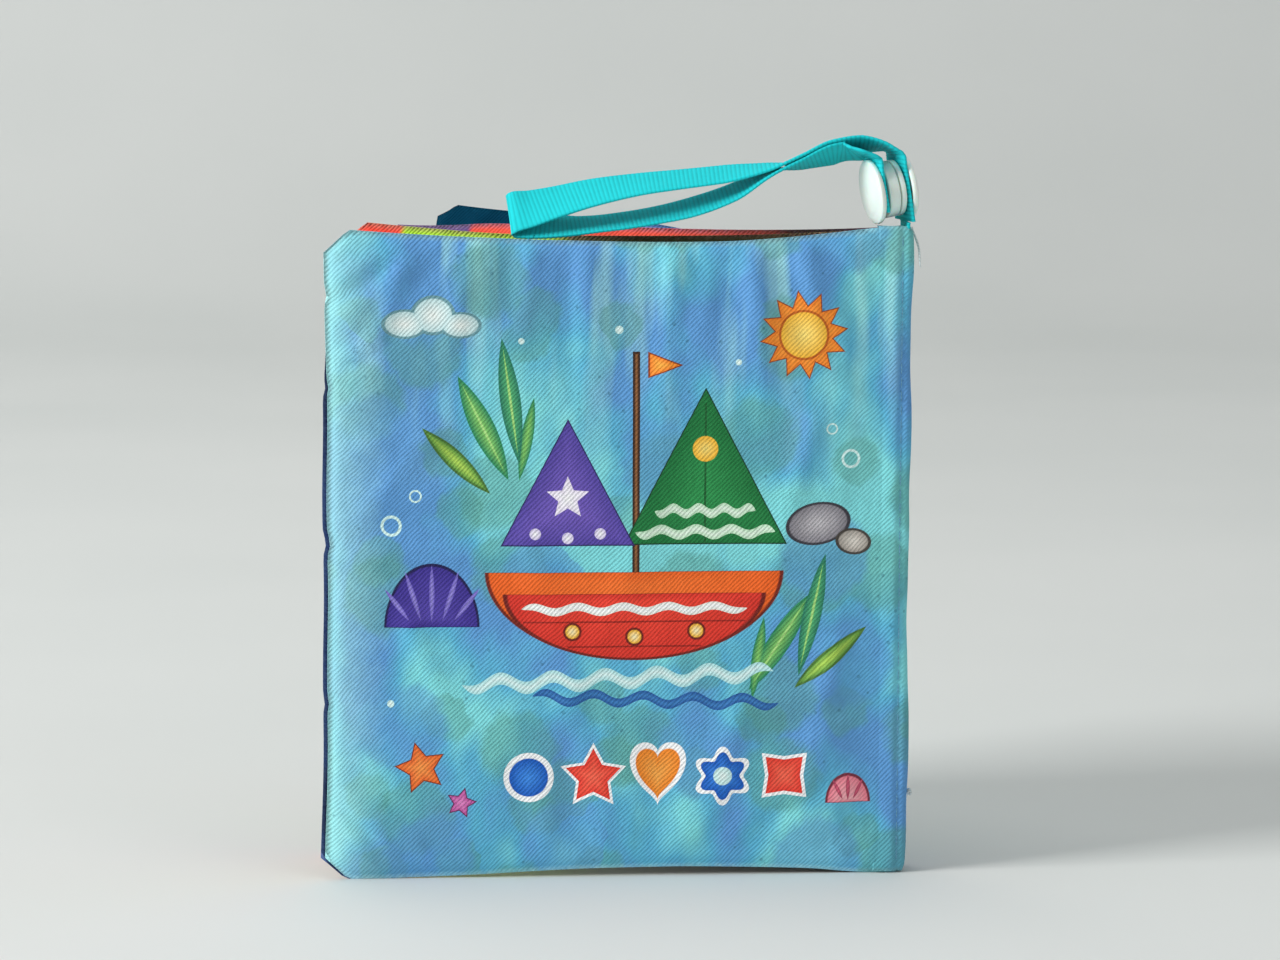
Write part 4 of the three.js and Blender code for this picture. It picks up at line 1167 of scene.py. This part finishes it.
def ribbon_piece(name, places, settings, material, foot=RIBBON_WIDTH, phase=0.0):
    """Ribbon swept through places, with its cross ribs and thicker selvedges as real relief.

    It starts as wide as its foot and is full width over its last eighth.
    """
    dense = np.linspace(0, 1, 60 * len(places))
    swept = np.concatenate([[catmull_rom(column, t) for t in dense] for column in zip(*places)], 1)
    pitch = settings.rib_pitch / MM
    swept, _ = resampled(swept, pitch / 4)
    line, side = swept[:, :3], swept[:, 3:]
    lengths = np.concatenate([[0], np.cumsum(np.linalg.norm(np.diff(line, axis=0), axis=1))])
    along = unit(np.gradient(line, axis=0))
    flat = unit(side - np.einsum("ij,ij->i", side, along)[:, None] * along)
    normal = np.cross(along, flat)
    # Across the ribbon: share of its half width, of its thickness, and of the ribs' height
    shares = np.array([-1, -0.985, -0.93, -0.8, -0.4, 0, 0.4, 0.8, 0.93, 0.985, 1])
    edge = np.array([0.35, 0.85, 1.15, 1, 1, 1, 1, 1, 1.15, 0.85, 0.35])
    ribbed = np.array([0, 0.5, 0.7, 1, 1, 1, 1, 1, 0.7, 0.5, 0])
    rib = 0.1 * np.sqrt(np.abs(np.cos(math.pi * lengths / pitch + phase)))
    thick = (settings.thickness / MM / 2 * edge + rib[:, None] * ribbed)[:, :, None]
    widths = foot + (RIBBON_WIDTH - foot) * np.clip((lengths / lengths[-1] - 0.88) / 0.12, 0, 1)
    sheet = line[:, None, :] + flat[:, None, :] * (widths[:, None] / 2 * shares)[:, :, None] + BOOK_SHIFT
    uv = np.stack(np.broadcast_arrays(lengths[:, None], RIBBON_WIDTH / 2 * shares), -1) + PRINT_SPAN / 2
    piece = shell(name, sheet + normal[:, None, :] * thick, sheet - normal[:, None, :] * thick, uv, material, "ribbon")
    return piece, float(lengths[-1])


def shaded(colour, share):
    """A settings colour as RGBA, darkened to a share."""
    return [*(Vector(colour) * share), 1]


def ribbon_material(settings):
    """Polyester grosgrain ribbon, woven with thick cross ribs and a satin-smooth selvedge.

    The rib crests are painted brighter as a highlight and the turquoise between them darker as shade, over the ribs'
    relief, with a soft sheen across the ribs.
    """
    material, add = new_material("woven_polyester_grosgrain", Roughness=0.75, IOR=1.5, Specular_IOR_Level=0.1)
    shifted = add("VectorMath ADD", add("UVMap", uv_map="print"), (-0.5, -0.5, 0))
    point = add("VectorMath SCALE", shifted, Scale=PRINT_SPAN)
    along = add("SeparateXYZ", point)
    # Painted highlight on the rib crests and painted shade between the ribs, a little uneven
    crest = add("Math COSINE", add("Math MULTIPLY", along, math.pi / (settings.rib_pitch / MM)))
    crest = add("Math ABSOLUTE", crest)
    level = add("Math MULTIPLY_ADD", add("TexNoise 2D", point, Scale=0.35, Detail=4.0), 0.5, crest)
    share = add("MapRange", level, 0.1, 1.1)
    add("Mix RGBA", {0: share, 6: shaded(settings.colour, 0.72), 7: shaded(settings.colour, 1)}, out=2,
        to="Base Color")
    # Warp threads run along the ribbon
    warp = add("Math SINE", add("Math MULTIPLY", along.node.outputs[1], 2 * math.pi / WARP_PITCH))
    add("Bump", Strength=0.4, Distance=0.00004, Height=warp, to="Normal")
    return material


def turned(profile, centre, direction, segments):
    """Points in the frame and faces of a profile of radius and height, turned round the stud's axis.

    A profile that starts off the axis is closed from its end to its start.
    """
    turn = Vector(STUD_AXIS * direction).to_track_quat("Z", "Y").to_matrix()
    origin = Vector(centre + BOOK_SHIFT)
    points, faces, rows = [], [], []
    for radius, height in profile:
        count = segments if radius > 1e-6 else 1
        rows.append(range(len(points), len(points) + count))
        for step in 2 * math.pi * np.arange(count) / segments:
            points.append(origin + turn @ Vector((radius * math.cos(step), radius * math.sin(step), height)))
    pairs = list(zip(rows, rows[1:])) + ([(rows[-1], rows[0])] if len(rows[0]) > 1 else [])
    for low, high in pairs:
        for i in range(segments):
            # At the axis two corners are the same point, and the face is a triangle
            corners = [row[k % len(row)] for row, k in ((low, i), (low, i + 1), (high, i + 1), (high, i))]
            faces.append(tuple(dict.fromkeys(corners)))
    return points, faces


def cut_post_hole(piece, centre):
    """Cuts the hole in the ribbon that the press stud's post passes through."""
    points, faces = turned(
        [(0, -HOLE_REACH), (POST_HOLE, -HOLE_REACH), (POST_HOLE, HOLE_REACH), (0, HOLE_REACH)], centre, 1, 24)
    cutter = plain_object("post_hole", [p * MM for p in points], faces)
    cutter.data.shade_flat()
    cut = piece.modifiers.new("hole", "BOOLEAN")
    cut.operation, cut.solver, cut.object = "DIFFERENCE", "EXACT", cutter
    settled = piece.evaluated_get(bpy.context.evaluated_depsgraph_get())
    spare = piece.data, cutter.data
    piece.data = bpy.data.meshes.new_from_object(settled)
    piece.modifiers.clear()
    bpy.data.objects.remove(cutter)
    for mesh in spare:
        bpy.data.meshes.remove(mesh)


class CLOTHBOOK_OT_ribbon(bpy.types.Operator):
    """Make the ribbon strap: its sewn tail, its loop and its return"""
    bl_idname = "clothbook.ribbon"
    bl_label = "Ribbon"

    def execute(self, context):
        settings = context.scene.cloth_book.ribbon
        material = ribbon_material(settings)
        places = [clamp_place(STRAP_HINGE, 0.1)]
        places += [clamp_place(STUD_CENTRE, share * CLAMP_REACH) for share in (-1, 0, 0.7, 1.1)]
        places += [strap_place(*shares) for shares in LOOP_SHARES]
        loop, length = ribbon_piece("ribbon_loop", places, settings, material)
        cut_post_hole(loop, STUD_CENTRE)
        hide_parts("strap_loop")
        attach(loop, "strap")
        places = [strap_place(*shares) for shares in RETURN_SHARES]
        places.append(clamp_place(FREE_CENTRE, CAP_RADIUS + CAP_BEND, CAP_BEND))
        # The free end is cut short enough to stay under the cap
        places += [clamp_place(FREE_CENTRE, share * CLAMP_REACH) for share in (1.1, 0.7, 0, -0.66)]
        back, length = ribbon_piece("ribbon_return", places, settings, material)
        cut_post_hole(back, FREE_CENTRE)
        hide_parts("strap_return")
        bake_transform(back)
        places = [(np.array([*STRAP_HINGE[:2], z]), np.array([0.0, 1.0, 0.0]))
                  for z in (105.6, 110, 115, 119, 120.6, 121.5)]
        tail, length = ribbon_piece("ribbon_tail", places, settings, material, TAIL_WIDTH, 0.6)
        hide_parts("strap_tail")
        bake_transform(tail)
        return {"FINISHED"}


# Press stud

def snap_material(settings):
    """Acetal plastic, injection moulded: milky mint-white and glossy, with a faint orange-peel skin."""
    material, add = new_material("moulded_acetal", Roughness=0.32, IOR=1.48, Subsurface_Weight=0.25,
                                 Subsurface_Scale=0.002, Coat_Weight=0.15)
    place = add("TexCoord", out="Object")
    cloud = add("TexNoise", place, Scale=220.0, Detail=3.0)
    add("Mix RGBA", {0: cloud, 6: shaded(settings.colour, 0.93), 7: shaded(settings.colour, 1)}, out=2,
        to="Base Color")
    skin = add("TexNoise", place, Scale=1400.0, Detail=2.0)
    add("Bump", Strength=0.25, Distance=0.00005, Height=skin, to="Normal")
    return material


def cap_profile():
    """Domed cap with a rounded rim, a shallow ring and a gate mark, and the post under it."""
    profile = [(0, -1.9), (1.35, -1.9), (1.5, -1.75), (1.5, -0.12), (1.62, 0), (4.9, 0), (5.2, -0.22),
               (5.55, -0.3), (5.85, -0.2), (5.97, 0.05), (6.0, 0.35)]
    for step in range(1, 19):
        slope = math.pi / 2 * step / 18
        radius = CAP_RADIUS * math.cos(slope) if step < 18 else 0.0
        height = 0.5 + 0.85 * math.sin(slope)
        height -= 0.09 * math.exp(-((radius - 4.4) / 0.28) ** 2) + 0.16 * math.exp(-(radius / 0.55) ** 2)
        profile.append((radius, height))
    return profile


STUD_PROFILE = (
    (0, 1.5), (1.7, 1.5), (1.8, 1.42), (1.8, 0.08), (1.9, 0), (5.0, 0), (5.15, 0.06), (5.2, 0.18), (5.2, 0.72),
    (5.15, 0.85), (5.0, 0.9), (2.95, 0.9), (2.87, 0.98), (3.05, 1.5), (3.1, 1.72), (3.05, 1.95), (2.85, 2.2),
    (2.6, 2.25), (0, 2.25),
)
SOCKET_PROFILE = (
    (3.4, 0), (5.0, 0), (5.15, 0.06), (5.2, 0.2), (5.2, 1.85), (5.15, 1.98), (5.0, 2.05), (1.9, 2.05), (1.8, 1.97),
    (1.8, 1.35), (3.3, 1.35), (3.4, 1.25), (3.4, 0.9), (3.45, 0.6), (3.5, 0.2),
)


class CLOTHBOOK_OT_snap(bpy.types.Operator):
    """Make the press stud's four mouldings"""
    bl_idname = "clothbook.snap"
    bl_label = "Press stud"

    def execute(self, context):
        settings = context.scene.cloth_book.snap
        material = snap_material(settings)
        for name, profile, distance, direction, body in (
            ("snap_cap_spine", cap_profile(), -CAP_SEAT, -1, "strap"),
            ("snap_stud", STUD_PROFILE, CAP_SEAT, 1, "strap"),
            ("snap_socket", SOCKET_PROFILE, SOCKET_FACE, 1, "snap_half"),
            ("snap_cap_free", cap_profile(), FREE_CAP_SEAT, 1, "snap_half"),
        ):
            shape = turned(profile, STUD_CENTRE + STUD_AXIS * distance, direction, settings.segments)
            piece = solid_piece(f"{name}_moulding", *shape, material, "snap_plastic")
            piece.data.set_sharp_from_angle(angle=math.radians(50))
            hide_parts(name)
            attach(piece, body)
        return {"FINISHED"}


# Threads

def thread_material(name, colour, dark):
    """Spun polyester sewing thread, two-ply: matt, with a fine twist whose bump catches the light and whose grooves
    are painted darker as shade.
    """
    material, add = new_material(name, Roughness=0.7, IOR=1.5, Sheen_Weight=0.4)
    twist = add("TexWave", add("TexCoord", out="Object"), Scale=900.0, Distortion=3.0,
                bands_direction="DIAGONAL", out="Fac")
    # Painted shade in the grooves of the twist, full colour on its ridges
    add("Mix RGBA", {0: twist, 6: shaded(colour, dark), 7: shaded(colour, 1)}, out=2, to="Base Color")
    add("Bump", Strength=0.5, Distance=0.00006, Height=twist, to="Normal")
    return material


def thread_piece(name, paths, radius, material, body):
    """Round threads along lines of points in the frame, thinner at their ends, as one piece."""
    sides, taper = 7, 0.35
    points, faces = [], []
    for path in paths:
        count = len(path)
        along = unit(np.gradient(path, axis=0))
        one = unit(np.cross(along, (0.0, 0.0, 1.0) if abs(along[0][2]) < 0.9 else (1.0, 0.0, 0.0)))
        two = np.cross(along, one)
        inward = np.minimum(np.arange(count), np.arange(count)[::-1]) / max(1, (count - 1) / 2)
        size = radius * (taper + (1 - taper) * np.minimum(1, np.sqrt(inward) * 1.4))
        step = 2 * math.pi * np.arange(sides)[:, None] / sides
        ring = np.cos(step) * one[:, None, :] + np.sin(step) * two[:, None, :]
        index = len(points) + np.arange(count * sides).reshape(count, sides)
        after = np.roll(index, -1, axis=1)
        points += (path[:, None, :] + size[:, None, None] * ring).reshape(-1, 3).tolist()
        faces += np.stack([index[:-1], after[:-1], after[1:], index[1:]], -1).reshape(-1, 4).tolist()
        faces += [index[0, ::-1].tolist(), index[-1].tolist()]
    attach(solid_piece(name, points, faces, material, "spine_cloth"), body)


class CLOTHBOOK_OT_threads(bpy.types.Operator):
    """Make the stitches beside the spine, the loose thread end and the knot"""
    bl_idname = "clothbook.threads"
    bl_label = "Threads"

    def execute(self, context):
        settings = context.scene.cloth_book.spine
        material = thread_material("spun_polyester_thread", settings.thread_colour, 0.7)
        pale = thread_material("spun_polyester_thread_pale", linear("#EAF6F6")[:3], 0.75)
        stitch = settings.stitch_length / MM
        t = np.linspace(0, 1, 7)
        rise = 1.13 + 0.06 * np.sin(math.pi * t)
        for name, number, side, body in (("spine_stitches_near", 0, 1, "back_cover"),
                                         ("spine_stitches_far", 3, -1, "front_cover")):
            paths = [leaf_place(number, 0.1, side * rise, z + t * stitch * 0.8)
                     for z in np.arange(2.6, LEAF_HEIGHT - 3, stitch)]
            thread_piece(name, paths, STITCH_RADIUS, material, body)
        t = np.linspace(0, 1, 30)[:, None]
        wave = np.concatenate([0.5 * np.sin(5 * t) * t, 0.3 * np.sin(7 * t), np.zeros_like(t)], 1)
        loose = np.array([1.9, 1.4, 120.6]) + t * np.array([1.9, -2.2, -7.4]) + wave
        thread_piece("loose_thread_end", [loose + BOOK_SHIFT], LOOSE_RADIUS, pale, "spine")
        s = np.linspace(0, 2 * math.pi, 40)
        swing = 1 + 0.4 * np.cos(3 * s)
        knot = np.stack([2.5 + 0.3 * np.cos(2 * s) * swing, 0.8 + 0.4 * np.sin(3 * s),
                         15.0 + 0.5 * np.sin(2 * s) * swing], -1)
        thread_piece("thread_knot", [knot + BOOK_SHIFT], KNOT_RADIUS, pale, "back_page")
        return {"FINISHED"}


class CLOTHBOOK_PT_panel(bpy.types.Panel):
    """Lists the cloth book's pieces and settings"""
    bl_idname = "CLOTHBOOK_PT_panel"
    bl_label = "Cloth book"
    bl_space_type = "VIEW_3D"
    bl_region_type = "UI"
    bl_category = "Cloth book"

    def draw(self, context):
        for operator in OPERATORS:
            name = operator.bl_idname.split(".")[1]
            group = getattr(context.scene.cloth_book, "spine" if name == "threads" else name)
            box = self.layout.box()
            box.label(text=operator.bl_label)
            for key in group.bl_rna.properties.keys():
                if key not in ("rna_type", "name"):
                    box.prop(group, key)
            box.operator(operator.bl_idname)


OPERATORS = (
    CLOTHBOOK_OT_stage, CLOTHBOOK_OT_leaves, CLOTHBOOK_OT_spine, CLOTHBOOK_OT_ribbon, CLOTHBOOK_OT_snap,
    CLOTHBOOK_OT_threads,
)
CLASSES = (
    LeafSettings, SpineSettings, RibbonSettings, SnapSettings, StageSettings, ClothBookSettings, *OPERATORS,
    CLOTHBOOK_PT_panel,
)


def register():
    for item in CLASSES:
        bpy.utils.register_class(item)
    bpy.types.Scene.cloth_book = bpy.props.PointerProperty(type=ClothBookSettings)


def unregister():
    del bpy.types.Scene.cloth_book
    for item in reversed(CLASSES):
        bpy.utils.unregister_class(item)


def main():
    """Makes the whole book."""
    register()
    bpy.ops.clothbook.stage()
    bpy.ops.clothbook.leaves()
    bpy.ops.clothbook.spine()
    bpy.ops.clothbook.ribbon()
    bpy.ops.clothbook.snap()
    bpy.ops.clothbook.threads()


if __name__ == "__main__":
    main()
